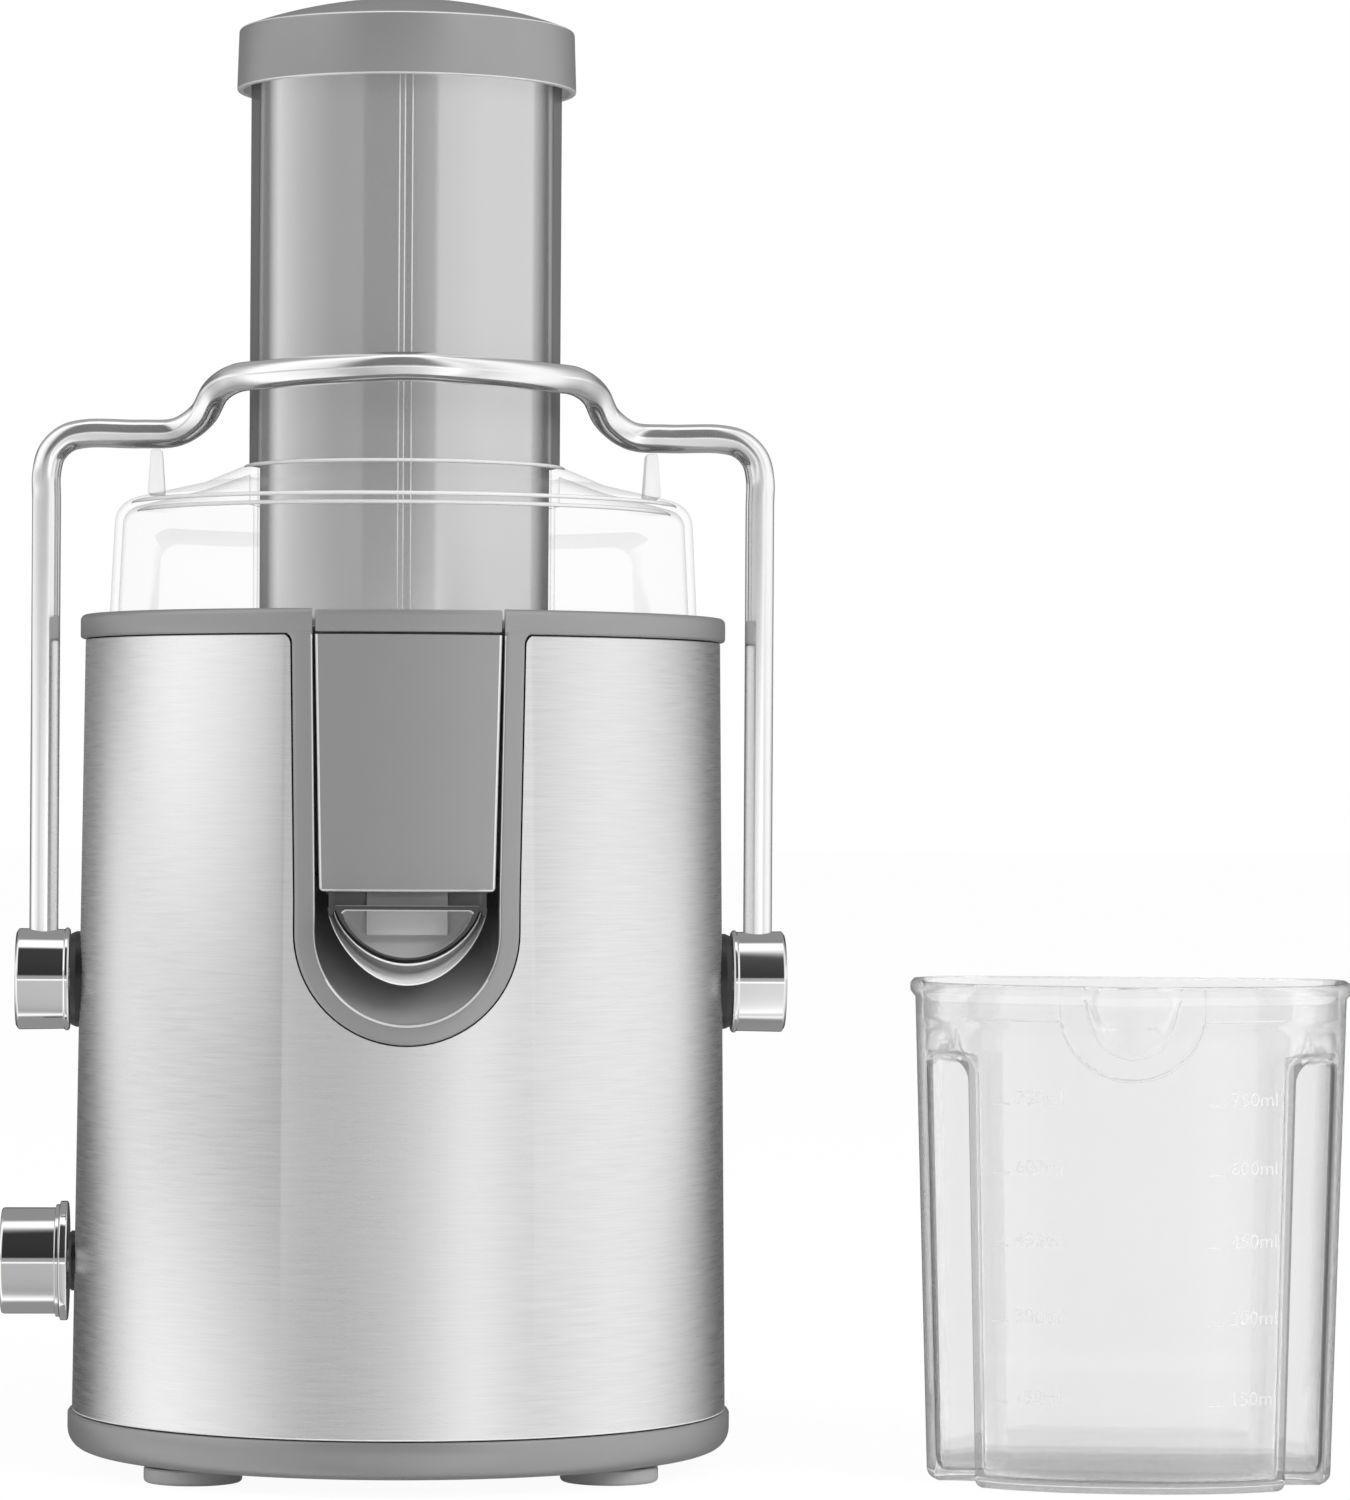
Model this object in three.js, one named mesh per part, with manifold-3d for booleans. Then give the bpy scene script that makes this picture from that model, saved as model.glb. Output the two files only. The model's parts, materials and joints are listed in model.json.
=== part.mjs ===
// A centrifugal juicer with its juice jug standing beside it.
// Millimetres, +Z up, the front towards -Y. Every size below is in the juicer's own frame, whose
// Z axis is the motor's axis and whose floor is z = 0. The exported group then moves the whole set
// so that its origin is the middle of the set's footprint.
import * as THREE from "three";
import { mergeVertices } from "three/addons/utils/BufferGeometryUtils.js";
import Module from "manifold-3d";

const wasm = await Module();
wasm.setup();

// ---------------------------------------------------------------- driving dimensions
const GAP = 0.3; // between pieces that touch
const COARSE = 16; // sides of a small round piece
const FINE = 40; // sides of a large one

const FOOT = { r: 12.3, height: 3.9, stem: 4, x: 52, front: -45, rear: 118 };
const BASE = { r: 85, bottom: 4.2, top: 13.7, floor: 8, tongueHalf: 71, tongueEnd: 172 };
const SLEEVE = { bottom: 14, top: 210.9, rBottom: 83.9, rTop: 81.6, wall: 0.8 };
const CHASSIS_WALL = 2.4;
const DECK = { bottom: 140.5, top: 143, hole: 16.3 };
const RING = { inner: 76, outer: 82.9, bottom: 211.2, top: 217.3 };
const TRIM = { half: 27.6, inner: 22.7, centre: 137.7, flare: 3 };
const RECESS = { half: 24.9, top: 145.6, back: -63.8, wall: 2, plugBack: 16.5 };
const PANEL = { topHalf: 22.3, bottomHalf: 21.3, bottom: 147.4, top: 211.2, skin: 2.3 };
const NOZZLE = { top: 145.5, half: 19.2, drop: 15.4, wall: 3.2, bar: 2.4, front: -88, back: -75.5 };
const LIP = { half: 19.9, drop: 20.7, front: -86.5, back: -77 };
const DUCT = { half: 9.8, wall: 1.5, bottom: 137.8, top: 168, front: -79.5 };
const BOWL = { r: 75, wall: 2, bottom: 146, rim: 213.2, boss: 17, bossTop: 172 };
const LID = { rBottom: 74.5, bottom: 213.5, shoulder: 244.5, peak: 253.5, wall: 2 };
const LID_TAIL = { half: 69, end: 171, corner: 42, top: 243.5 };
const CHUTE = { r: 40, rLower: 38.9, bore: 37.9, bottom: 184, top: 355.5 };
const PUSHER = { rTop: 37.5, rBottom: 37.1, wall: 2.4, bottom: 186, top: 359.9, groove: 1.3 };
const CAP = { r: 43.5, rTop: 42.4, bottom: 352.6, edge: 367.7, peak: 376.2, inner: 41.9 };
const ARM = { r: 3.5, x: 91.8, foot: 129.8, shoulder: 264, arch: 278, archR: 48.3, bend: 10 };
const PIVOT = { z: 123.8, capR: 13, capIn: 86.2, capOut: 99.6, pinR: 3, spacerR: 12.3 };
const CAM = { peak: 8, low: 6.5, rise: 0.9, from: -20, to: 115, x: -74, width: 5 };
const KNOB = { z: 51.5, r: 13.5, flangeR: 15.3, out: 102.7, step: 88.3, in: 85.6, shaftR: 3 };
const GLAND = { y: 36, z: 26, r: 6, hole: 3.8 };
const POST = { x: 42, y: 61, r: 7.5, top: 30 }; // chassis bosses for the base screws
const SHAFT = { r: 4, bottom: 22, top: 171 };
const BEARING = { r: 11, height: 7, lower: 24, upper: 117.5 };
const STATOR = { x: 42, y: 38, bottom: 55, top: 95, bore: 24.5, windowX: 34, windowY: 31, neck: 16.5 };
const ARMATURE = { r: 23.6, slots: 12, slotWidth: 2.6, slotDepth: 6 };
const FAN = { r: 32, bottom: 104.6, blades: 9 };
const BASKET = { floorR: 49, topR: 63, floor: 176, top: 207, sheet: 0.8, rimR: 67.5 };
const BIN = { half: 68, front: 86.3, end: 170, corner: 44, bottom: 14, top: 212.8, wall: 2 };
const JUG = { half: 54.5, front: -42, back: 40, height: 125.4, wall: 2, draft: 0.927 };
const JUG_PLACE = { x: 183.4, y: -42, turn: -6.9 }; // degrees about +Z

// ---------------------------------------------------------------- materials
const finish = (colour, roughness, metalness = 0, opacity = 1) =>
  new THREE.MeshStandardMaterial({
    color: colour,
    roughness,
    metalness,
    opacity,
    transparent: opacity < 1,
  });
const MATERIAL = {
  brushedSteel: finish(0xc4c5c7, 0.32, 1),
  chrome: finish(0xe6e6e6, 0.06, 1),
  greyPlastic: finish(0x8a8a8a, 0.5),
  darkPlastic: finish(0x1f1f20, 0.45),
  clearPlastic: finish(0xf4f6f6, 0.08, 0, 0.2),
  smokePlastic: finish(0x77777a, 0.12, 0, 0.55),
  frostPlastic: finish(0xdcdcdc, 0.25, 0, 0.8),
  rubber: finish(0x9a9a9a, 0.75),
  mountRubber: finish(0x2a2a2a, 0.8),
  laminations: finish(0x5a5c60, 0.55, 0.8),
  copper: finish(0xb4653a, 0.4, 0.9),
  motorSteel: finish(0xa8aaad, 0.4, 1),
};

// ---------------------------------------------------------------- solids
const { Vector2, Vector3 } = THREE;
const radians = THREE.MathUtils.degToRad;
const mix = THREE.MathUtils.lerp;

// A closed three.js geometry as a manifold solid, turned face out if it was inside out.
function solid(geometry) {
  const bare = new THREE.BufferGeometry();
  bare.setAttribute("position", geometry.getAttribute("position"));
  bare.setIndex(geometry.getIndex());
  const merged = mergeVertices(bare, 1e-4);
  const corners = merged.index.array;
  const kept = [];
  for (let i = 0; i < corners.length; i += 3) {
    const [a, b, c] = corners.slice(i, i + 3);
    if (a !== b && b !== c && a !== c) kept.push(a, b, c);
  }
  const build = (triVerts) =>
    new wasm.Manifold(
      new wasm.Mesh({
        numProp: 3,
        vertProperties: new Float32Array(merged.attributes.position.array),
        triVerts: new Uint32Array(triVerts),
      }),
    );
  const made = build(kept);
  if (made.volume() > 0) return made;
  const turned = [];
  for (let i = 0; i < kept.length; i += 3) turned.push(kept[i], kept[i + 2], kept[i + 1]);
  return build(turned);
}

// A manifold solid as a three.js geometry.
function geometryOf(made) {
  const mesh = made.getMesh();
  const points = new Float32Array(mesh.numVert * 3);
  for (let i = 0; i < mesh.numVert; i += 1) {
    const start = i * mesh.numProp;
    points.set(mesh.vertProperties.subarray(start, start + 3), i * 3);
  }
  const geometry = new THREE.BufferGeometry();
  geometry.setAttribute("position", new THREE.BufferAttribute(points, 3));
  geometry.setIndex(new THREE.BufferAttribute(new Uint32Array(mesh.triVerts), 1));
  geometry.computeVertexNormals();
  return geometry;
}

// A profile of [radius, z] pairs turned round Z. It starts and ends on the axis or closes on itself.
function turned(profile, sides = COARSE) {
  const onAxis = profile[0][0] === 0;
  const points = profile.map(([r, z]) => new Vector2(r, z));
  if (!onAxis) points.push(points[0].clone());
  const geometry = new THREE.LatheGeometry(points, sides);
  geometry.rotateX(Math.PI / 2);
  return solid(geometry);
}

// A plain round bar or washer between two heights.
const bar = (r, bottom, top, sides = COARSE) =>
  turned([[0, bottom], [r, bottom], [r, top], [0, top]], sides);
const washer = (inner, outer, bottom, top, sides = COARSE) =>
  turned([[inner, bottom], [outer, bottom], [outer, top], [inner, top]], sides);

// A box from its lowest to its highest corner.
function block([x0, y0, z0], [x1, y1, z1]) {
  const geometry = new THREE.BoxGeometry(x1 - x0, y1 - y0, z1 - z0);
  geometry.translate((x0 + x1) / 2, (y0 + y1) / 2, (z0 + z1) / 2);
  return solid(geometry);
}

// A solid that joins a stack of outlines. Each is a list of Vector3 with the same count.
function loft(rings) {
  const count = rings[0].length;
  const points = rings.flatMap((ring) => ring.flatMap((p) => [p.x, p.y, p.z]));
  const faces = [];
  for (let k = 0; k + 1 < rings.length; k += 1) {
    for (let i = 0; i < count; i += 1) {
      const j = (i + 1) % count;
      const [a, b] = [k * count + i, k * count + j];
      faces.push(a, b, b + count, a, b + count, a + count);
    }
  }
  const flat = flattened(rings[0]);
  const caps = THREE.ShapeUtils.triangulateShape(flat, []);
  const last = (rings.length - 1) * count;
  const same = THREE.ShapeUtils.area(flat) > 0 ? 1 : -1;
  for (const [a, b, c] of caps) {
    if (same > 0) faces.push(a, c, b, last + a, last + b, last + c);
    else faces.push(a, b, c, last + a, last + c, last + b);
  }
  const geometry = new THREE.BufferGeometry();
  geometry.setAttribute("position", new THREE.Float32BufferAttribute(points, 3));
  geometry.setIndex(faces);
  return solid(geometry);
}

// A ring's points in its own plane, for its cap: X and Y on a level ring, X and Z on an upright one.
function flattened(ring) {
  const level = ring.every((p) => Math.abs(p.z - ring[0].z) < 1e-6);
  return ring.map((p) => (level ? new Vector2(p.x, p.y) : new Vector2(p.x, -p.z)));
}

// A plan outline at a height, grown or shrunk about the origin.
const lifted = (outline, z, scale = 1) =>
  outline.map((p) => new Vector3(p.x * scale, p.y * scale, z));

// A Shape drawn in X and Z, given thickness along Y from back to front.
function upright(shape, back, front, segments = 12) {
  const geometry = new THREE.ExtrudeGeometry(shape, {
    depth: back - front,
    bevelEnabled: false,
    curveSegments: segments,
  });
  geometry.rotateX(Math.PI / 2);
  geometry.translate(0, back, 0);
  return solid(geometry);
}

// Turns a solid built along +Z so that it lies along X, with its z becoming x.
const alongX = (made) => made.rotate([0, 90, 0]);
const mirroredX = (made) => made.mirror([1, 0, 0]);
const both = (made) => made.add(mirroredX(made));
const moved = (made, x, y, z) => made.translate([x, y, z]);
const all = (list) => list.reduce((sum, next) => sum.add(next));

// ---------------------------------------------------------------- the tapered housing's own radii
const sleeveR = (z) =>
  mix(SLEEVE.rBottom, SLEEVE.rTop, (z - SLEEVE.bottom) / (SLEEVE.top - SLEEVE.bottom));
const chassisR = (z) => sleeveR(z) - SLEEVE.wall - GAP;

// A shell between two radii that follow the housing's taper, each given as an offset from it.
function taperedShell(inner, outer, bottom, top, sides = FINE) {
  return turned(
    [
      [sleeveR(bottom) + inner, bottom],
      [sleeveR(bottom) + outer, bottom],
      [sleeveR(top) + outer, top],
      [sleeveR(top) + inner, top],
    ],
    sides,
  );
}

// Everything inside a radius that follows the taper.
function taperedCore(offset, bottom, top) {
  const ends = [
    [sleeveR(bottom) + offset, bottom],
    [sleeveR(top) + offset, top],
  ];
  return turned([[0, bottom], ...ends, [0, top]], FINE);
}

// The U of the front opening, open at the top, in X and Z.
function uShape(half, top, flare = 0) {
  const shape = new THREE.Shape();
  shape.moveTo(-half - flare, top);
  if (flare) shape.quadraticCurveTo(-half, top, -half, top - flare);
  shape.lineTo(-half, TRIM.centre);
  shape.absarc(0, TRIM.centre, half, Math.PI, 2 * Math.PI, false);
  shape.lineTo(half, top - flare);
  if (flare) shape.quadraticCurveTo(half, top, half + flare, top);
  return shape;
}

// A round hole or bar that runs out sideways through the wall at x = from .. to.
const sideBar = (r, from, to, z, sides = COARSE) => moved(alongX(bar(r, from, to, sides)), 0, 0, z);

// The hole in the side wall that holds the cord gland.
const glandHole = () => moved(sideBar(GLAND.r + GAP, -95, -60, GLAND.z), 0, GLAND.y, 0);

// ---------------------------------------------------------------- base
// The tongue that runs back under the pulp bin, as a plan outline.
function tongueOutline(half, end, corner) {
  const shape = new THREE.Shape();
  shape.moveTo(-half, 0);
  shape.lineTo(half, 0);
  shape.lineTo(half, end - corner);
  shape.absarc(half - corner, end - corner, corner, 0, Math.PI / 2, false);
  shape.absarc(corner - half, end - corner, corner, Math.PI / 2, Math.PI, false);
  return shape.getPoints(6).slice(0, -1);
}

const FOOT_PLACES = {
  foot_front_left: [-FOOT.x, FOOT.front],
  foot_front_right: [FOOT.x, FOOT.front],
  foot_rear_left: [-FOOT.x, FOOT.rear],
  foot_rear_right: [FOOT.x, FOOT.rear],
};
const SCREW_PLACES = [
  [-POST.x, -POST.y],
  [POST.x, -POST.y],
  [-POST.x, POST.y],
  [POST.x, POST.y],
];

function basePlate() {
  const edge = [
    [BASE.r - 4.4, BASE.bottom],
    [BASE.r - 1.3, BASE.bottom + 1.5],
    [BASE.r, BASE.bottom + 4.6],
    [BASE.r, BASE.top],
  ];
  const dish = turned([[0, BASE.bottom], ...edge, [0, BASE.top]], FINE);
  const tongue = loft(
    edge.map(([r, z]) => {
      const inset = BASE.r - r;
      const outline = tongueOutline(BASE.tongueHalf - inset, BASE.tongueEnd - inset, 44);
      return lifted(outline, z);
    }),
  );
  const hollow = bar(BASE.r - 6, BASE.floor, BASE.top + 1, FINE);
  const stems = all(
    Object.values(FOOT_PLACES).map(([x, y]) =>
      moved(bar(FOOT.stem + GAP, BASE.bottom - 1, BASE.floor + 1.5), x, y, 0),
    ),
  );
  const screws = all(
    SCREW_PLACES.map(([x, y]) =>
      moved(bar(4.1, BASE.bottom - 1, 6.6).add(bar(2.1, 6, BASE.floor + 1)), x, y, 0),
    ),
  );
  return dish.add(tongue).subtract(hollow).subtract(stems).subtract(screws);
}

const foot = () =>
  turned([
    [0, 0],
    [FOOT.r - 0.8, 0],
    [FOOT.r, 0.8],
    [FOOT.r, FOOT.height - 0.6],
    [FOOT.r - 0.6, FOOT.height],
    [FOOT.stem, FOOT.height],
    [FOOT.stem, BASE.floor],
    [0, BASE.floor],
  ]);

const baseScrew = () =>
  turned([[0, 4.4], [3.6, 4.4], [3.6, 6.2], [1.7, 6.2], [1.7, 26], [0, 26]], 12);

// ---------------------------------------------------------------- housing
function motorHousing() {
  const [bottom, top] = [SLEEVE.bottom + GAP, SLEEVE.top];
  const inside = (z) => chassisR(z) - CHASSIS_WALL;
  const shell = turned(
    [
      [inside(bottom), bottom],
      [chassisR(bottom), bottom],
      [chassisR(top), top],
      [inside(top), top],
      [inside(DECK.top), DECK.top],
      [DECK.hole, DECK.top],
      [DECK.hole, DECK.bottom],
      [inside(DECK.bottom), DECK.bottom],
    ],
    FINE,
  );
  const posts = all(
    SCREW_PLACES.map(([x, y]) => {
      const post = moved(bar(POST.r, bottom, POST.top), x, y, 0);
      const hole = moved(bar(2, bottom - 1, POST.top - 3, 12), x, y, 0);
      return post.intersect(taperedCore(-1.5, bottom, 40)).subtract(hole);
    }),
  );
  const opening = upright(uShape(RECESS.half + GAP, 230), RECESS.back + 2 + GAP, -100);
  const pivots = both(sideBar(PIVOT.pinR + 0.7, 60, 100, PIVOT.z));
  const knobHole = sideBar(KNOB.shaftR + 1.2, -100, -60, KNOB.z);
  return shell
    .add(posts)
    .subtract(opening)
    .subtract(pivots)
    .subtract(knobHole)
    .subtract(glandHole());
}

function steelSleeve() {
  const shell = taperedShell(-SLEEVE.wall, 0, SLEEVE.bottom, SLEEVE.top);
  const opening = upright(uShape(TRIM.half + GAP, RING.bottom, TRIM.flare), -40, -100);
  return shell
    .subtract(opening)
    .subtract(both(sideBar(PIVOT.pinR + 0.9, 60, 100, PIVOT.z)))
    .subtract(sideBar(KNOB.shaftR + 1.4, -100, -60, KNOB.z))
    .subtract(glandHole());
}

// The grey ring on top of the housing, with the U-shaped trim that runs down round the spout.
function topBezel() {
  const ring = turned(
    [
      [RING.inner, RING.bottom],
      [RING.outer, RING.bottom],
      [RING.outer, RING.top - 2],
      [RING.outer - 0.6, RING.top - 0.6],
      [RING.outer - 2, RING.top],
      [RING.inner, RING.top],
    ],
    FINE,
  );
  const band = taperedShell(-SLEEVE.wall, 1, 105, RING.bottom + 2);
  const outline = upright(uShape(TRIM.half, RING.bottom + 2, TRIM.flare + 1), -40, -100);
  const inner = upright(uShape(TRIM.inner, 230), -40, -100);
  const tailGap = block([-LID_TAIL.half - 0.6, 10, LID.bottom - 0.5], [LID_TAIL.half + 0.6, 100, 230]);
  return ring.add(band.intersect(outline)).subtract(inner).subtract(tailGap);
}

// The scooped pocket behind the trim, which the nozzle hangs in.
function recessLiner() {
  const shell = upright(uShape(RECESS.half, RECESS.top), RECESS.back + 2, -90);
  const plug = loft(
    [0, 0.35, 0.6, 0.8, 0.93, 1].map((t) => {
      const half = mix(TRIM.inner + 0.2, RECESS.plugBack, 1 - Math.sqrt(1 - t * t));
      const y = mix(-90, RECESS.back, t);
      const points = uShape(half, RECESS.top + 5).getPoints(10);
      return points.map((p) => new Vector3(p.x, y, p.y));
    }),
  );
  return shell.intersect(taperedCore(-SLEEVE.wall - GAP, 100, 160)).subtract(plug);
}

// The grommet that the cord comes in by. Its collar stands proud of the sleeve.
function cordGland() {
  const { y, z, r, hole } = GLAND;
  const grommet = turned([
    [hole, 73],
    [r, 73],
    [r, 80.2],
    [r + 1.6, 80.2],
    [r + 1.6, 83.4],
    [hole, 84.6],
  ]);
  return moved(mirroredX(alongX(grommet)), 0, y, z);
}

// ---------------------------------------------------------------- motor
const bearing = () =>
  washer(SHAFT.r + 0.15, BEARING.r, 0, BEARING.height);

// A pressed bridge that holds one bearing and stands on the stator by two legs. Its legs point up.
function motorBracket(legs, reach) {
  const plate = block([-38, -13, 0], [38, 13, 3]);
  const cup = bar(BEARING.r + 2.4, 0, BEARING.height + 1.5);
  const bore = bar(BEARING.r + GAP, -1, BEARING.height - 0.5 + GAP).add(bar(6, -1, 12));
  const leg = block([35, -13, 0], [38, 13, legs]);
  const ears = both(block([30, -reach, 0], [38, reach, 3]));
  return all([plate, cup, both(leg), ears]).subtract(bore);
}

function stator() {
  const { x, y, bottom, top, bore, windowX, windowY, neck } = STATOR;
  const core = block([-x, -y, bottom], [x, y, top]);
  const window = block([-windowX, -windowY, bottom - 1], [windowX, windowY, top + 1]);
  const poles = block([-neck, -y, bottom], [neck, y, top]);
  const shoes = bar(bore + 3, bottom, top, FINE).intersect(
    block([-22, -windowY, bottom], [22, windowY, top]),
  );
  return core
    .subtract(window)
    .add(poles)
    .add(shoes)
    .subtract(bar(bore, bottom - 1, top + 1, FINE));
}

// A field winding: a flat ring round one pole, with its end turns standing out above and below.
function fieldCoil() {
  const outer = block([-26, 27.9, STATOR.bottom - 8], [26, 30.6, STATOR.top + 8]);
  const inner = block(
    [-STATOR.neck - GAP, 20, STATOR.bottom - GAP],
    [STATOR.neck + GAP, 40, STATOR.top + GAP],
  );
  return outer.subtract(inner);
}

function armature() {
  const core = bar(ARMATURE.r, STATOR.bottom, STATOR.top, FINE);
  const ends = bar(19, STATOR.bottom - 6, STATOR.top + 6);
  const depth = ARMATURE.r - ARMATURE.slotDepth;
  const slot = block(
    [depth, -ARMATURE.slotWidth / 2, STATOR.bottom - 1],
    [ARMATURE.r + 1, ARMATURE.slotWidth / 2, STATOR.top + 1],
  );
  const turns = Array.from({ length: ARMATURE.slots }, (_, i) => (360 / ARMATURE.slots) * i);
  const slots = all(turns.map((a) => slot.rotate([0, 0, a])));
  return core.subtract(slots).add(ends).subtract(bar(SHAFT.r + GAP, 0, 200));
}

const commutator = () =>
  turned([
    [SHAFT.r + GAP, 35],
    [10, 35],
    [10, 46.5],
    [12.5, 46.5],
    [12.5, 48.5],
    [SHAFT.r + GAP, 48.5],
  ]);

const brushHolder = () =>
  block([10.4, -4, 38], [16, 4, 44]).add(block([15, -6, 35.5], [34.5, 6, 46.5]));

function coolingFan() {
  const disc = bar(FAN.r, FAN.bottom, FAN.bottom + 1.6, FINE).add(
    bar(9, FAN.bottom, FAN.bottom + 10.5),
  );
  const blade = block([8, -0.8, FAN.bottom], [FAN.r - 1, 0.8, FAN.bottom + 9.8]);
  const turns = Array.from({ length: FAN.blades }, (_, i) => (360 / FAN.blades) * i);
  const blades = all(turns.map((a) => blade.rotate([0, 0, a])));
  return disc.add(blades).subtract(bar(SHAFT.r + GAP, 0, 200));
}

// The toothed coupling on the end of the shaft, which drives the basket.
function driveCoupling() {
  const core = bar(9.5, 149, 166).add(bar(13, 149, 152));
  const tooth = block([8, -1.6, 150], [12, 1.6, 165]);
  const teeth = all([0, 60, 120, 180, 240, 300].map((a) => tooth.rotate([0, 0, a])));
  return core.add(teeth).subtract(bar(SHAFT.r + GAP, 140, 172));
}

// ---------------------------------------------------------------- juicing chamber
function filterBowl() {
  const { r, wall, bottom, rim, boss, bossTop } = BOWL;
  const pan = turned(
    [
      [boss, bottom],
      [50, bottom],
      [50, DECK.top + GAP],
      [53, DECK.top + GAP],
      [53, bottom],
      [r - 3, bottom],
      [r, bottom + 3],
      [r, rim],
      [r - wall, rim],
      [r - wall, bottom + 5],
      [r - wall - 2.5, bottom + 2.5],
      [boss + wall, bottom + 2.5],
      [boss + wall, bossTop],
      [boss, bossTop],
    ],
    FINE,
  );
  const front = block([-PANEL.topHalf, -95, 200], [PANEL.topHalf, 0, 230]);
  const tab = washer(r + 0.2, RING.outer - 0.3, 211.7, RING.top - 0.5, FINE)
    .add(washer(r - wall + 0.5, r + 1, 211.7, rim, FINE))
    .intersect(front);
  const inside = DUCT.half - DUCT.wall;
  const outlet = block([-inside, -80, bottom + 3], [inside, -70, DUCT.top - 2]);
  return pan.add(tab).subtract(outlet);
}

// A trapezium in X and Z, as wide as the spout cover less an inset.
function coverShape(inset, bottom, top) {
  const halfAt = (z) =>
    mix(PANEL.bottomHalf, PANEL.topHalf, (z - PANEL.bottom) / (PANEL.top - PANEL.bottom)) - inset;
  const shape = new THREE.Shape();
  shape.moveTo(-halfAt(bottom), bottom);
  shape.lineTo(halfAt(bottom), bottom);
  shape.lineTo(halfAt(top), top);
  shape.lineTo(-halfAt(top), top);
  return shape;
}

function spoutCover() {
  const { bottom, top, skin } = PANEL;
  const outer = taperedCore(0.8, bottom - 5, top + 5)
    .subtract(bar(BOWL.r + 0.4, 100, 230, FINE))
    .intersect(upright(coverShape(0, bottom, top), -40, -100));
  const inner = taperedCore(0.8 - skin, bottom - 5, top + 5).intersect(
    upright(coverShape(skin, bottom - 2, top - skin), -40, -100),
  );
  return outer.subtract(inner);
}

// A half ellipse hanging from a level line.
function halfMoon(half, drop, top) {
  const shape = new THREE.Shape();
  shape.moveTo(-half, top);
  shape.absellipse(0, top, half, drop, Math.PI, 2 * Math.PI, false, 0);
  return shape;
}

// The open trough that the juice leaves by, and the duct that feeds it from the bowl.
function spoutNozzle() {
  const { top, half, drop, wall, bar: barHeight, front, back } = NOZZLE;
  const body = upright(halfMoon(half, drop, top), back, front, 20);
  const hollow = upright(halfMoon(half - wall, drop - wall, top - barHeight), back - 1.5, front - 1, 20);
  const openTop = block([wall - half, front + 2, top - 8], [half - wall, back - 1.5, top + 1]);
  const hole = DUCT.half - DUCT.wall;
  const duct = block([-DUCT.half, DUCT.front, DUCT.bottom], [DUCT.half, back, DUCT.top]);
  const ductHole = block(
    [-hole, DUCT.front + DUCT.wall, DUCT.bottom - 1],
    [hole, back + 1, DUCT.top - DUCT.wall],
  );
  return body.subtract(hollow).subtract(openTop).add(duct).subtract(ductHole);
}

function spoutLip() {
  const outer = upright(halfMoon(LIP.half, LIP.drop, NOZZLE.top), LIP.back, LIP.front, 20);
  const inner = upright(
    halfMoon(NOZZLE.half + GAP, NOZZLE.drop + GAP, NOZZLE.top),
    LIP.back + 1,
    LIP.front - 1,
    20,
  );
  return outer.subtract(inner).intersect(block([-30, -100, 100], [30, -50, NOZZLE.top - 2]));
}

function basketHub() {
  return turned(
    [
      [12.8, 156],
      [15.4, 156],
      [15.4, BOWL.bossTop + 0.8],
      [BASKET.floorR, BOWL.bossTop + 0.8],
      [BASKET.floorR, BASKET.floor - 0.8],
      [8, BASKET.floor - 0.8],
      [8, 173.2],
      [12.8, 173.2],
    ],
    FINE,
  );
}

const graterDisc = () =>
  turned(
    [
      [0, BASKET.floor - 0.5],
      [BASKET.floorR - 1.2, BASKET.floor - 0.5],
      [BASKET.floorR - 1.2, BASKET.floor + 0.7],
      [14, BASKET.floor + 0.7],
      [8, BASKET.floor + 4],
      [0, BASKET.floor + 5.5],
    ],
    FINE,
  );

const filterMesh = () =>
  turned(
    [
      [BASKET.floorR - BASKET.sheet, BASKET.floor],
      [BASKET.floorR, BASKET.floor],
      [BASKET.topR, BASKET.top],
      [BASKET.topR - BASKET.sheet, BASKET.top],
    ],
    FINE,
  );

const basketRim = () =>
  turned(
    [
      [BASKET.topR - 1, BASKET.top + GAP],
      [BASKET.rimR - 1, BASKET.top + GAP],
      [BASKET.rimR, BASKET.top + 1.2],
      [BASKET.rimR, BASKET.top + 4],
      [BASKET.topR - 1, BASKET.top + 4],
    ],
    FINE,
  );

// ---------------------------------------------------------------- lid and pusher
// The round half of the lid, as everything inside its outer skin less an inset.
function lidDome(inset) {
  const [b, s] = [LID.bottom, LID.shoulder - inset];
  const lower = inset ? b - 1 : b;
  return turned(
    [
      [0, lower],
      [LID.rBottom - inset, lower],
      [73.2 - inset, s - 8],
      [71.2 - inset, s - 3],
      [66 - inset, s],
      [CHUTE.r - inset, LID.peak - inset],
      [0, LID.peak - inset],
    ],
    FINE,
  );
}

// The tail of the lid that carries the pulp back over the bin.
function lidTail(inset) {
  const ring = (grow, z) =>
    lifted(tongueOutline(LID_TAIL.half - inset - grow, LID_TAIL.end - inset - grow, 40), z);
  const [b, t] = [LID.bottom - (inset ? 1 : 0), LID_TAIL.top - inset];
  return loft([ring(0, b), ring(0.8, t - 7), ring(2.6, t - 2.4), ring(7, t)]);
}

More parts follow.
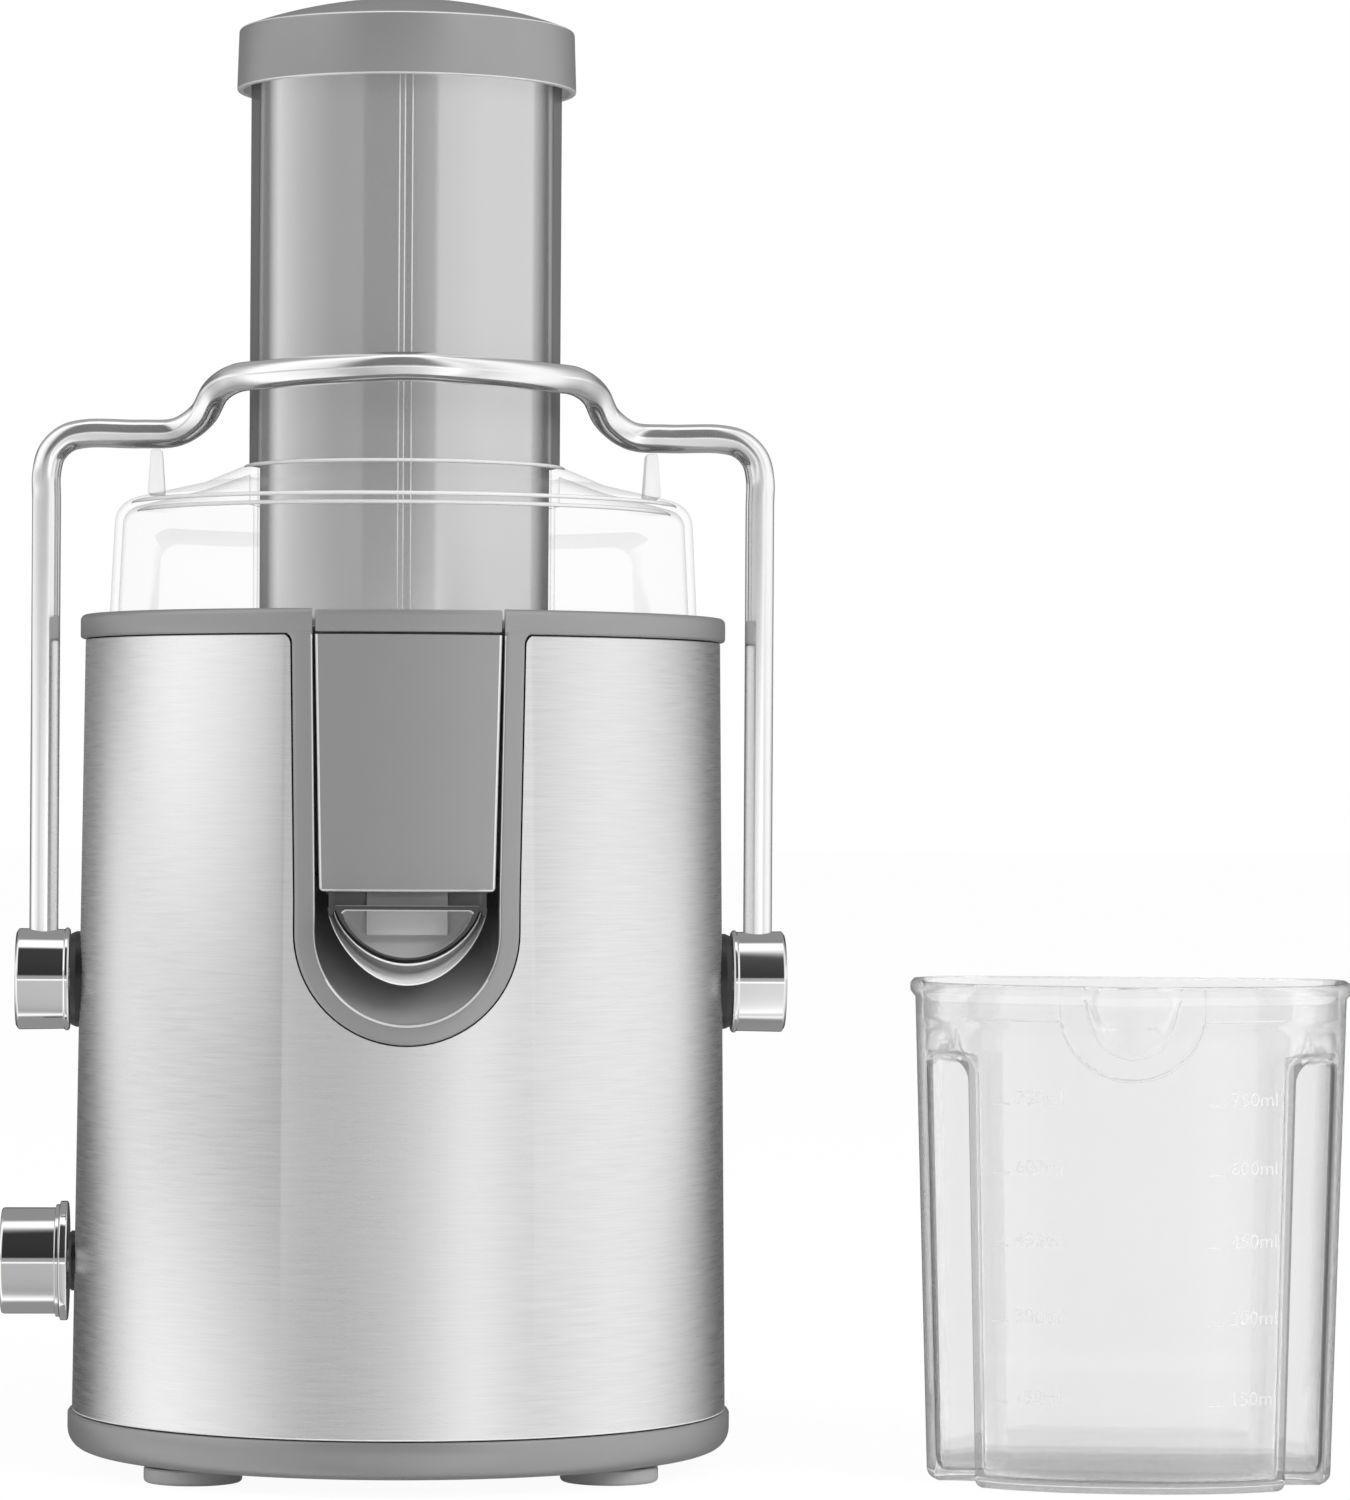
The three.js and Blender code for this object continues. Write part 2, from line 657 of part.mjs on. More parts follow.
function lid() {
  const { r, rLower, bore, bottom, top } = CHUTE;
  const outer = lidDome(0).add(lidTail(0));
  const inner = lidDome(LID.wall).add(lidTail(LID.wall));
  const chute = bar(r, LID.shoulder, top, FINE).add(bar(rLower, bottom, LID.shoulder + 1, FINE));
  const key = block([-0.9, -bore - 0.5, bottom + 8], [0.9, -36.5, top - 3]);
  const post = block([-2, -7, 240], [2, 7, 259.9]).subtract(
    block([-3, -20, 259.9], [3, 20, 300]),
  );
  return outer
    .subtract(inner)
    .add(chute)
    .subtract(bar(bore, bottom - 1, top + 1, FINE))
    .add(key)
    .add(both(moved(post, 63.7, 0, 0).intersect(block([0, -20, 243.5], [100, 20, 300]))));
}

function pusherTube() {
  const { rTop, rBottom, wall, bottom, top, groove } = PUSHER;
  const cup = turned(
    [
      [0, bottom],
      [rBottom - 2, bottom],
      [rBottom, bottom + 2],
      [rTop, top],
      [rTop - wall, top],
      [rBottom - wall, bottom + 4],
      [0, bottom + 4],
    ],
    FINE,
  );
  return cup.subtract(block([-groove, -45, bottom - 1], [groove, -35.9, top - 4]));
}

function pusherCap() {
  const { r, rTop, bottom, edge, peak, inner } = CAP;
  const domePoints = [0.3, 0.65].map((t) => [
    rTop * (1 - t) - 1,
    edge + (peak - edge) * (1 - (1 - t) ** 2),
  ]);
  return turned(
    [
      [0, 356.5],
      [34.6, 356.5],
      [34.6, PUSHER.top + GAP],
      [CHUTE.bore, PUSHER.top + GAP],
      [CHUTE.bore, CHUTE.top + GAP],
      [inner, CHUTE.top + GAP],
      [inner, bottom],
      [r, bottom],
      [rTop, edge - 1.4],
      [rTop - 0.8, edge],
      ...domePoints,
      [0, peak],
    ],
    FINE,
  );
}

// ---------------------------------------------------------------- locking arm
// Half of the wire's centre line, from the foot of the left arm to the front of the arch.
function armHalf() {
  const { x, foot, shoulder, arch, archR, bend } = ARM;
  const points = [new Vector3(-x, 0, foot), new Vector3(-x, 0, 165), new Vector3(-x, 0, 210)];
  points.push(new Vector3(-x, 0, shoulder - bend - 8));
  for (const a of [0, 30, 60, 90]) {
    const turn = radians(a);
    const cx = -x + bend - bend * Math.cos(turn);
    points.push(new Vector3(cx, 0, shoulder - bend + bend * Math.sin(turn)));
  }
  points.push(new Vector3(-68, 0, shoulder));
  points.push(new Vector3(-58.5, -0.8, shoulder + 0.6));
  points.push(new Vector3(-52.2, -4.5, shoulder + 4.6));
  points.push(new Vector3(-48.6, -11, arch - 4.4));
  for (const a of [26, 42, 58, 74, 90]) {
    const turn = radians(a);
    const z = arch - 1.8 * Math.cos(turn);
    points.push(new Vector3(-archR * Math.cos(turn), -archR * Math.sin(turn), z));
  }
  return points;
}

function lockArm() {
  const left = armHalf();
  const right = left.slice(0, -1).reverse();
  const whole = [...left, ...right.map((p) => new Vector3(-p.x, p.y, p.z))];
  const path = new THREE.CatmullRomCurve3(whole, false, "centripetal");
  const section = new THREE.Shape();
  section.absarc(0, 0, ARM.r, 0, 2 * Math.PI, false);
  return solid(
    new THREE.ExtrudeGeometry(section, { steps: 64, curveSegments: 4, extrudePath: path }),
  );
}

// The right cap; the left one is its mirror image.
function pivotCap() {
  const { capR, capIn, capOut, pinR, z } = PIVOT;
  const cap = turned([
    [0, capIn],
    [capR, capIn],
    [capR, capOut - 2.2],
    [capR - 0.7, capOut - 0.8],
    [capR - 2.2, capOut],
    [0, capOut],
  ]);
  const pinHole = bar(pinR + GAP, capIn - 1, 95.3);
  const wireHole = moved(bar(ARM.r + GAP, ARM.foot - z - GAP, 30), ARM.x, 0, 0);
  return moved(alongX(cap.subtract(pinHole)).subtract(wireHole), 0, 0, z);
}

const pivotPin = () => sideBar(PIVOT.pinR, 69.5, 95, PIVOT.z);

function pivotSpacer() {
  const ring = sideBar(PIVOT.spacerR, 76, PIVOT.capIn - GAP, PIVOT.z);
  return ring
    .subtract(sideBar(PIVOT.pinR + 0.5, 60, 100, PIVOT.z))
    .subtract(taperedCore(GAP, 90, 160));
}

// A cam whose radius falls evenly as the arm swings forward, so the plunger follows it in step.
function interlockCam() {
  const shape = new THREE.Shape();
  for (let a = CAM.from; a <= CAM.to; a += 9) {
    const turn = radians(a);
    const r = CAM.peak - CAM.rise * turn;
    shape[a === CAM.from ? "moveTo" : "lineTo"](-r * Math.sin(turn), -r * Math.cos(turn));
  }
  for (let a = CAM.to + 10; a < 340; a += 15) {
    const turn = radians(a);
    shape.lineTo(-CAM.low * Math.sin(turn), -CAM.low * Math.cos(turn));
  }
  const disc = new THREE.ExtrudeGeometry(shape, { depth: CAM.width, bevelEnabled: false });
  const upended = solid(disc).rotate([90, 0, 90]);
  return moved(upended, CAM.x, 0, PIVOT.z).subtract(
    sideBar(PIVOT.pinR + GAP, -90, -60, PIVOT.z),
  );
}

const PLUNGER = { r: 1.8, x: CAM.x + CAM.width / 2, top: PIVOT.z - CAM.peak - GAP, length: 9.5 };
const interlockPlunger = () =>
  moved(bar(PLUNGER.r, PLUNGER.top - PLUNGER.length, PLUNGER.top, 16), PLUNGER.x, 0, 0);
const interlockSwitch = () =>
  block([-78.2, -9, 98], [-66, 9, 110]).subtract(
    moved(bar(PLUNGER.r + GAP, 103, 112, 16), PLUNGER.x, 0, 0),
  );

// ---------------------------------------------------------------- speed control
function speedKnob() {
  const { r, flangeR, out, step, in: inner, shaftR } = KNOB;
  const body = turned(
    [
      [0, inner],
      [flangeR, inner],
      [flangeR, step - 0.4],
      [r, step + 0.3],
      [r, out - 1.6],
      [r - 1.6, out],
      [0, out],
    ],
    32,
  );
  const bore = bar(shaftR + GAP, inner - 1, 97.3);
  const made = mirroredX(alongX(body.subtract(bore)));
  return moved(made, 0, 0, KNOB.z);
}

const knobShaft = () => sideBar(KNOB.shaftR, -97, -68, KNOB.z);
const knobCollar = () =>
  sideBar(7.7, -KNOB.in + GAP, -78, KNOB.z)
    .subtract(sideBar(KNOB.shaftR + 0.5, -100, -60, KNOB.z))
    .subtract(taperedCore(GAP, 20, 90));
const speedSwitch = () =>
  block([-77, -12, 40], [-58, 12, 63]).subtract(sideBar(KNOB.shaftR + GAP, -100, -66, KNOB.z));

// ---------------------------------------------------------------- pulp bin
// The bin's plan: hollowed in front to sit round the housing, rounded behind.
function binOutline(inset) {
  const half = BIN.half - inset;
  const front = BIN.front + inset;
  const reach = Math.asin(half / front);
  const shape = new THREE.Shape();
  shape.moveTo(half, Math.cos(reach) * front);
  shape.lineTo(half, BIN.end - BIN.corner);
  shape.absarc(half + inset - BIN.corner, BIN.end - BIN.corner, BIN.corner - inset, 0, Math.PI / 2);
  shape.absarc(BIN.corner - half - inset, BIN.end - BIN.corner, BIN.corner - inset, Math.PI / 2, Math.PI);
  shape.lineTo(-half, Math.cos(reach) * front);
  shape.absarc(0, 0, front, Math.PI / 2 + reach, Math.PI / 2 - reach, true);
  return shape.getPoints(9).slice(0, -1);
}

function pulpBin() {
  const { bottom, top, wall } = BIN;
  const outer = loft([
    lifted(binOutline(3), bottom),
    lifted(binOutline(1.6), bottom + 2),
    lifted(binOutline(1.2), bottom + 5),
    lifted(binOutline(0), top),
  ]);
  const inner = loft([
    lifted(binOutline(wall + 2), bottom + 2.4),
    lifted(binOutline(wall + 1.2), bottom + 6),
    lifted(binOutline(wall), top + 1),
  ]);
  const grip = block([-26, BIN.end - 3, 186], [26, BIN.end + 11, 189]).add(
    block([-26, BIN.end + 8.6, 176], [26, BIN.end + 11, 189]),
  );
  return outer.add(grip).subtract(inner);
}

// ---------------------------------------------------------------- juice jug
// The jug's plan at its rim: a bowed front, straight flanks and a flat back with round corners.
function jugOutline(inset) {
  const bow = 2.2;
  const [a, b] = [JUG.half - inset, 2 - JUG.front - inset];
  const points = [];
  for (let i = 0; i <= 24; i += 1) {
    const turn = Math.PI + (Math.PI * i) / 24;
    const [c, s] = [Math.cos(turn), Math.sin(turn)];
    const x = a * Math.sign(c) * Math.abs(c) ** (2 / bow);
    points.push(new Vector2(x, 2 - b * Math.abs(s) ** (2 / bow)));
  }
  const corner = 18 - inset;
  for (const [centre, from] of [[a - corner, 0], [corner - a, 90]]) {
    for (let k = 0; k <= 90; k += 18) {
      const turn = radians(from + k);
      const y = JUG.back - inset - corner + corner * Math.sin(turn);
      points.push(new Vector2(centre + corner * Math.cos(turn), y));
    }
  }
  return points;
}

// The finger flute that is cut from each front corner below the rim.
function jugFlute(grow) {
  const x = 41.5 - grow;
  return both(block([x, -60, -1], [70, -5 + grow, 103 + grow]));
}

function juiceJug() {
  const { height, wall, draft } = JUG;
  const scaleAt = (z) => mix(draft, 1, z / height);
  const outer = loft([
    lifted(jugOutline(1.6), 0, scaleAt(0)),
    lifted(jugOutline(0), 2.5, scaleAt(2.5)),
    lifted(jugOutline(0), height, 1),
  ]).subtract(jugFlute(0));
  const bead = loft([
    lifted(jugOutline(0.2), height - 3.4, 1),
    lifted(jugOutline(-1.2), height - 2.4, 1),
    lifted(jugOutline(-1.2), height, 1),
  ]);
  const beak = (grow) => {
    const cone = new THREE.CylinderGeometry(18.4 + grow, 3 + grow, 25, 20);
    cone.rotateX(Math.PI / 2);
    cone.scale(1, 0.5, 1);
    cone.translate(0, JUG.front + 2, height - 12.5 + (grow ? 0.1 : 0));
    return solid(cone);
  };
  const inner = loft([
    lifted(jugOutline(wall + 1.4), 2.4, scaleAt(2.4)),
    lifted(jugOutline(wall), 5, scaleAt(5)),
    lifted(jugOutline(wall), height + 1, scaleAt(height + 1)),
  ]).subtract(jugFlute(wall));
  return outer.add(bead).add(beak(0)).subtract(inner).subtract(beak(-wall));
}

// ---------------------------------------------------------------- assembly
const juicer = new THREE.Group();

// Adds a named piece. A piece is made in the juicer's frame unless it is given a place.
function add(name, made, material, place = [0, 0, 0], turn = [0, 0, 0], parent = juicer) {
  const mesh = new THREE.Mesh(geometryOf(made), material);
  mesh.name = name;
  mesh.position.set(...place);
  mesh.rotation.set(...turn);
  parent.add(mesh);
}

const M = MATERIAL;
add("base_plate", basePlate(), M.greyPlastic);
for (const [name, [x, y]] of Object.entries(FOOT_PLACES)) add(name, foot(), M.rubber, [x, y, 0]);
SCREW_PLACES.forEach(([x, y], i) => {
  add(`base_screw_${i + 1}`, baseScrew(), M.motorSteel, [x, y, 0]);
});

add("motor_housing", motorHousing(), M.darkPlastic);
add("steel_sleeve", steelSleeve(), M.brushedSteel);
add("top_bezel", topBezel(), M.greyPlastic);
add("recess_liner", recessLiner(), M.greyPlastic);
add("cord_gland", cordGland(), M.mountRubber);

add("bearing_lower", bearing(), M.motorSteel, [0, 0, BEARING.lower]);
add("bearing_upper", bearing(), M.motorSteel, [0, 0, BEARING.upper]);
const bracketDrop = BEARING.lower + GAP;
add("motor_bracket_lower", motorBracket(STATOR.bottom - GAP - bracketDrop, 13), M.motorSteel, [
  0,
  0,
  bracketDrop,
]);
const bracketTop = 124.2;
add(
  "motor_bracket_upper",
  motorBracket(bracketTop - STATOR.top - GAP, 20).mirror([0, 0, 1]),
  M.motorSteel,
  [0, 0, bracketTop],
);
add("stator", stator(), M.laminations);
add("field_coil_rear", fieldCoil(), M.copper);
add("field_coil_front", fieldCoil(), M.copper, [0, 0, 0], [0, 0, Math.PI]);
add("brush_holder_right", brushHolder(), M.darkPlastic);
add("brush_holder_left", brushHolder(), M.darkPlastic, [0, 0, 0], [0, 0, Math.PI]);
add("motor_mount", washer(20, 36, bracketTop + GAP, DECK.bottom - GAP, 32), M.mountRubber);
add("shaft_seal", washer(SHAFT.r + 0.2, DECK.hole - GAP, 139, 144.5), M.mountRubber);

add("motor_shaft", bar(SHAFT.r, SHAFT.bottom, SHAFT.top), M.motorSteel);
add("armature", armature(), M.laminations);
add("commutator", commutator(), M.copper);
add("cooling_fan", coolingFan(), M.darkPlastic);
add("drive_coupling", driveCoupling(), M.darkPlastic);
add("basket_hub", basketHub(), M.greyPlastic);
add("grater_disc", graterDisc(), M.motorSteel);
add("filter_mesh", filterMesh(), M.motorSteel);
add("basket_rim", basketRim(), M.greyPlastic);

add("filter_bowl", filterBowl(), M.greyPlastic);
add("spout_cover", spoutCover(), M.greyPlastic);
add("spout_nozzle", spoutNozzle(), M.greyPlastic);
add("spout_lip", spoutLip(), M.frostPlastic);
add("lid", lid(), M.clearPlastic);
add("pusher_tube", pusherTube(), M.smokePlastic);
add("pusher_cap", pusherCap(), M.greyPlastic);

add("lock_arm", lockArm(), M.chrome);
add("pivot_cap_right", pivotCap(), M.chrome);
add("pivot_cap_left", mirroredX(pivotCap()), M.chrome);
add("pivot_pin_right", pivotPin(), M.motorSteel);
add("pivot_pin_left", mirroredX(pivotPin()), M.motorSteel);
add("pivot_spacer_right", pivotSpacer(), M.darkPlastic);
add("pivot_spacer_left", mirroredX(pivotSpacer()), M.darkPlastic);
add("interlock_cam", interlockCam(), M.darkPlastic);
add("interlock_plunger", interlockPlunger(), M.frostPlastic);
add("interlock_switch", interlockSwitch(), M.darkPlastic);

add("speed_knob", speedKnob(), M.chrome);
add("knob_shaft", knobShaft(), M.motorSteel);
add("knob_collar", knobCollar(), M.darkPlastic);
add("speed_switch", speedSwitch(), M.darkPlastic);

add("pulp_bin", pulpBin(), M.smokePlastic);

const jug = new THREE.Group();
jug.position.set(JUG_PLACE.x, JUG_PLACE.y, 0);
jug.rotation.z = radians(JUG_PLACE.turn);
add("juice_jug", juiceJug(), M.clearPlastic, [0, 0, 0], [0, 0, 0], jug);
juicer.add(jug);

// The origin is the middle of the whole set's footprint, on the surface that it stands on.
const part = new THREE.Group();
part.add(juicer);
part.updateMatrixWorld(true);
const extent = new THREE.Box3().setFromObject(part, true);
const middle = extent.getCenter(new Vector3());
juicer.position.set(-middle.x, -middle.y, -extent.min.z);

export default part;
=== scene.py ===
"""The looks of a centrifugal juicer with its juice jug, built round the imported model."""

import json
import logging
from collections.abc import Callable, Iterator, Sequence
from contextlib import contextmanager
from dataclasses import dataclass, field
from enum import Enum
from math import asin, copysign, cos, hypot, pi, radians, sin, sqrt, tan
from typing import Any, Union

import bmesh
import bpy
from mathutils import Matrix, Vector

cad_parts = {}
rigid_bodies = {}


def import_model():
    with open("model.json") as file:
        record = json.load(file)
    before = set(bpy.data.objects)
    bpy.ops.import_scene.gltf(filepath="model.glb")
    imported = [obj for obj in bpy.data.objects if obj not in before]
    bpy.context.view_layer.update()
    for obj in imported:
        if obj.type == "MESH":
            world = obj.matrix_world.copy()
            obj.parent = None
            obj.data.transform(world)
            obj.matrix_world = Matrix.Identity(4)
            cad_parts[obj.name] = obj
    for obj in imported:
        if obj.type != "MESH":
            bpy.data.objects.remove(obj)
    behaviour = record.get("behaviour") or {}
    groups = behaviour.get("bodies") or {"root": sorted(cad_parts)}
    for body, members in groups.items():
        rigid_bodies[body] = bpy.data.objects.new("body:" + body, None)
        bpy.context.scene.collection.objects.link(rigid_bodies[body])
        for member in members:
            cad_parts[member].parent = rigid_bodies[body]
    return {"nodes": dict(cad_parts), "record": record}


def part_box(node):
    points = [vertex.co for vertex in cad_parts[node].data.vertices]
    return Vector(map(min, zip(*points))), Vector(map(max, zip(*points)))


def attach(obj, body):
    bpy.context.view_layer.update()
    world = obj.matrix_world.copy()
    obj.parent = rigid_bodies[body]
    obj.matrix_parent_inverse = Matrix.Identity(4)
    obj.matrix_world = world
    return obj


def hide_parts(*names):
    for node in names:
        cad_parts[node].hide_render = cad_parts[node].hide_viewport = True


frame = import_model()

LOG = logging.getLogger("juicer")
MM = 0.001
TURN = 2 * pi
# The mesh attribute that carries painted light: painted highlights on edges, and painted light and shade in
# hollows.
PAINTED_LIGHT = "polished"
UNMOVED = Matrix.Identity(4)
FLIP = Matrix.Diagonal((-1, 1, 1, 1))

Piece = bpy.types.Object
Profile = list[tuple[float, float]]
Ring = list[Vector]
Stops = Sequence[tuple[float, float]]
Value = Union[float, tuple, "Signal"]


# --- plane geometry
def mix(a: float, b: float, t: float) -> float:
    """A value between a and b, at a where t is 0 and at b where t is 1."""
    return a + (b - a) * t


def ease(t: float) -> float:
    """A smooth step from 0 to 1, flat at both ends."""
    t = min(max(t, 0.0), 1.0)
    return t * t * (3 - 2 * t)


def filleted(corners: Sequence[tuple], steps: int, closed: bool = True) -> Profile:
    """An outline with its corners rounded.

    Args:
        corners: The corners as (x, y) or (x, y, radius of the rounding).
        steps: How many edges each rounding has.
        closed: Whether the last corner is joined to the first.

    Returns:
        The outline's points.
    """
    points: Profile = []
    count = len(corners)
    for i, corner in enumerate(corners):
        radius = corner[2] if len(corner) > 2 else 0.0
        here = Vector(corner[:2])
        end = not closed and i in (0, count - 1)
        if radius <= 0 or end:
            points.append((here.x, here.y))
            continue
        before = (Vector(corners[i - 1][:2]) - here).normalized()
        after = (Vector(corners[(i + 1) % count][:2]) - here).normalized()
        half = before.angle(after) / 2
        centre = here + (before + after).normalized() * (radius / sin(half))
        start = (here + before * (radius / tan(half)) - centre).normalized()
        stop = (here + after * (radius / tan(half)) - centre).normalized()
        for k in range(steps + 1):
            spoke = start.slerp(stop, k / steps) * radius
            points.append((centre.x + spoke.x, centre.y + spoke.y))
    return points


def inset(outline: Profile, distance: float) -> Profile:
    """A closed smooth outline, anticlockwise, moved inwards by a distance along its own normals."""
    count = len(outline)
    moved: Profile = []
    for i, (x, y) in enumerate(outline):
        along = Vector(outline[(i + 1) % count]) - Vector(outline[i - 1])
        along.normalize()
        moved.append((x - along.y * distance, y + along.x * distance))
    return moved


def arc(x: float, y: float, rx: float, ry: float, start: float, stop: float, steps: int) -> Profile:
    """Points round an ellipse of radii rx and ry about (x, y), from one angle to another."""
    angles = [mix(start, stop, k / steps) for k in range(steps + 1)]
    return [(x + rx * cos(a), y + ry * sin(a)) for a in angles]


def round_back(half: float, end: float, corner: float, steps: int) -> Profile:
    """The two rounded rear corners of a plan, from its right side to its left."""
    centre = half - corner
    right = arc(centre, end - corner, corner, corner, 0, pi / 2, steps)
    return right + arc(-centre, end - corner, corner, corner, pi / 2, pi, steps)


def level(outline: Profile, z: float) -> Ring:
    """An outline as a level ring at a height."""
    return [Vector((x, y, z)) for x, y in outline]


def at(x: float, y: float, z: float) -> Matrix:
    """A move by that much along each axis."""
    return Matrix.Translation((x, y, z))


def upright(outline: Profile, y: float) -> Ring:
    """An outline in X and Z as a ring at a place along Y."""
    return [Vector((x, y, z)) for x, z in outline]


def circle(radius: float, z: float, sides: int) -> Ring:
    """A level circle round the Z axis."""
    spokes = [TURN * i / sides for i in range(sides)]
    return [Vector((radius * cos(a), radius * sin(a), z)) for a in spokes]


def smooth_route(points: Ring, steps: int) -> Ring:
    """A curve through every point, with even steps between each two.

    Args:
        points: The points to pass through.
        steps: The number of steps between neighbours.

    Returns:
        The curve's own points.
    """
    ends = [points[0] * 2 - points[1], *points, points[-1] * 2 - points[-2]]
    curve: Ring = []
    for i in range(1, len(ends) - 2):
        p = ends[i - 1 : i + 3]
        knot = [0.0]
        for a, b in zip(p, p[1:]):
            knot.append(knot[-1] + (b - a).length ** 0.5)
        for k in range(steps):
            t = mix(knot[1], knot[2], k / steps)
            row = list(p)
            for spans in (((0, 1), (1, 2), (2, 3)), ((0, 2), (1, 3)), ((1, 2),)):
                row = [
                    row[j].lerp(row[j + 1], (t - knot[low]) / (knot[high] - knot[low]))
                    for j, (low, high) in enumerate(spans)
                ]
            curve.append(row[0])
    curve.append(points[-1].copy())
    return curve


# --- modelling
class Ends(Enum):
    """What closes the two ends of a skin."""

    OPEN = "open"
    CAPPED = "capped"
    JOINED = "joined"


class Bench:
    """Blender's modelling tools, used one step at a time."""

    @staticmethod
    def clear() -> None:
        """Deselects everything."""
        for thing in bpy.context.view_layer.objects.selected[:]:
            thing.select_set(False)

    @staticmethod
    def pick(piece: Piece) -> None:
        """Makes a piece the only selected one, and the active one."""
        Bench.clear()
        piece.select_set(True)
        bpy.context.view_layer.objects.active = piece

    @staticmethod
    @contextmanager
    def editing(piece: Piece) -> Iterator[None]:
        """Edit mode on one piece, with all of it selected."""
        Bench.pick(piece)
        bpy.ops.object.mode_set(mode="EDIT")
        bpy.ops.mesh.select_all(action="SELECT")
        yield
        bpy.ops.object.mode_set(mode="OBJECT")

    @staticmethod
    def heal(piece: Piece, inside: bool = False) -> None:
        """Merges a piece's doubled points and points its faces outwards, or else inwards."""
        with Bench.editing(piece):
            bpy.ops.mesh.remove_doubles(threshold=1e-6)
            bpy.ops.mesh.normals_make_consistent(inside=inside)

    @staticmethod
    def skin(name: str, rings: Sequence[Ring], ends: Ends = Ends.CAPPED) -> Piece:
        """Extrudes a circle's edge from ring to ring, and puts each new ring in its place.

        Args:
            name: The piece's name.
            rings: Rings with the same number of points. A ring shrunk to a point makes a pole.
            ends: What closes the first and the last ring.

        Returns:
            The piece, with its faces outwards.
        """
        Bench.clear()
        stations = [*rings, rings[0]] if ends is Ends.JOINED else list(rings)
        count = len(stations[0])
        bpy.ops.mesh.primitive_circle_add(vertices=count, radius=1.0)
        piece = bpy.context.object
        piece.name = piece.data.name = name
        bpy.ops.object.mode_set(mode="EDIT")
        mesh = bmesh.from_edit_mesh(piece.data)
        mesh.verts.ensure_lookup_table()
        current = list(range(count))
        first = current
        for index, point in zip(current, stations[0]):
            mesh.verts[index].co = point
        for ring in stations[1:]:
            before = len(mesh.verts)
            bpy.ops.mesh.extrude_edges_indiv()
            mesh = bmesh.from_edit_mesh(piece.data)
            mesh.verts.index_update()
            mesh.verts.ensure_lookup_table()
            place = {index: k for k, index in enumerate(current)}
            following = [0] * count
            for index in range(before, len(mesh.verts)):
                vert = mesh.verts[index]
                others = (edge.other_vert(vert).index for edge in vert.link_edges)
                source = next(place[other] for other in others if other in place)
                vert.co = ring[source]
                following[source] = index
            current = following
        if ends is Ends.CAPPED:
            for loop in (first, current):
                bpy.ops.mesh.select_all(action="DESELECT")
                mesh = bmesh.from_edit_mesh(piece.data)
                mesh.verts.ensure_lookup_table()
                for index in loop:
                    mesh.verts[index].select = True
                mesh.select_flush(True)
                spread = max((mesh.verts[i].co - mesh.verts[loop[0]].co).length for i in loop)
                if spread > 1e-6:
                    bpy.ops.mesh.edge_face_add()
        bpy.ops.mesh.select_all(action="SELECT")
        bpy.ops.mesh.remove_doubles(threshold=1e-7)
        bpy.ops.mesh.normals_make_consistent(inside=False)
        bpy.ops.object.mode_set(mode="OBJECT")
        return piece

    @staticmethod
    def lathe(name: str, profile: Profile, sides: int, along: str = "Z") -> Piece:
        """Turns a profile of (radius, distance along the axis) pairs round an axis.

        Args:
            name: The piece's name.
            profile: It starts and ends on the axis, or else closes on itself.
            sides: The number of faces round the axis.
            along: The axis, which is X or Z.

        Returns:
            The turned piece.
        """
        closed = profile[0][0] > 0
        rings = [circle(r, z, sides) for r, z in profile]
        if along == "X":
            rings = [[Vector((p.z, p.x, p.y)) for p in ring] for ring in rings]
        return Bench.skin(name, rings, Ends.JOINED if closed else Ends.CAPPED)

    @staticmethod
    def turned(name: str, corners: Sequence[tuple], steps: int, sides: int, along: str = "Z") -> Piece:
        """A lathe piece whose profile's corners are rounded, each with that many steps."""
        return Bench.lathe(name, filleted(corners, steps, corners[0][0] > 0), sides, along)

    @staticmethod
    def drum(name: str, radius: float, ends: tuple[float, float], sides: int, along: str = "Z") -> Piece:
        """A plain solid drum between two places on its axis."""
        low, high = ends
        return Bench.lathe(name, [(0, low), (radius, low), (radius, high), (0, high)], sides, along)

    @staticmethod
    def cord(name: str, route: Sequence[Vector], radius: float, sides: int, taper: float = 0.0) -> Piece:
        """A round bar along a route of points.

        Args:
            name: The piece's name.
            route: The points of its centre line.
            radius: Its radius.
            sides: The number of faces round it.
            taper: The share of its length over which each end thins out.

        Returns:
            The bar, with flat ends.
        """
        side = Vector((0, 1, 0)) if abs(route[1].y - route[0].y) < 1e-6 else Vector((0, 0, 1))
        rings: list[Ring] = []
        last = len(route) - 1
        for i, point in enumerate(route):
            thin = min(1.0, 0.1 + min(i, last - i) / (taper * last)) if taper else 1.0
            ahead = route[min(i + 1, last)] - route[max(i - 1, 0)]
            ahead.normalize()
            side = (side - ahead * side.dot(ahead)).normalized()
            other = ahead.cross(side)
            rings.append(
                [
                    point + (side * cos(a) + other * sin(a)) * radius * thin
                    for a in (TURN * k / sides for k in range(sides))
                ]
            )
        return Bench.skin(name, rings)

    @staticmethod
    def sheet(name: str, columns: int, rows: int, place: Callable[[float, float], Vector]) -> Piece:
        """A grid whose points are each put in place by their share of the way across and up.

        Args:
            name: The piece's name.
            columns: The number of faces across.
            rows: The number of faces up.
            place: Gives a point's position for its two shares, both from 0 to 1.

        Returns:
            The open sheet.
        """
        Bench.clear()
        bpy.ops.mesh.primitive_grid_add(x_subdivisions=columns, y_subdivisions=rows, size=1.0)
        piece = bpy.context.object
        piece.name = piece.data.name = name
        for vert in piece.data.vertices:
            vert.co = place(vert.co.x + 0.5, vert.co.y + 0.5)
        return piece

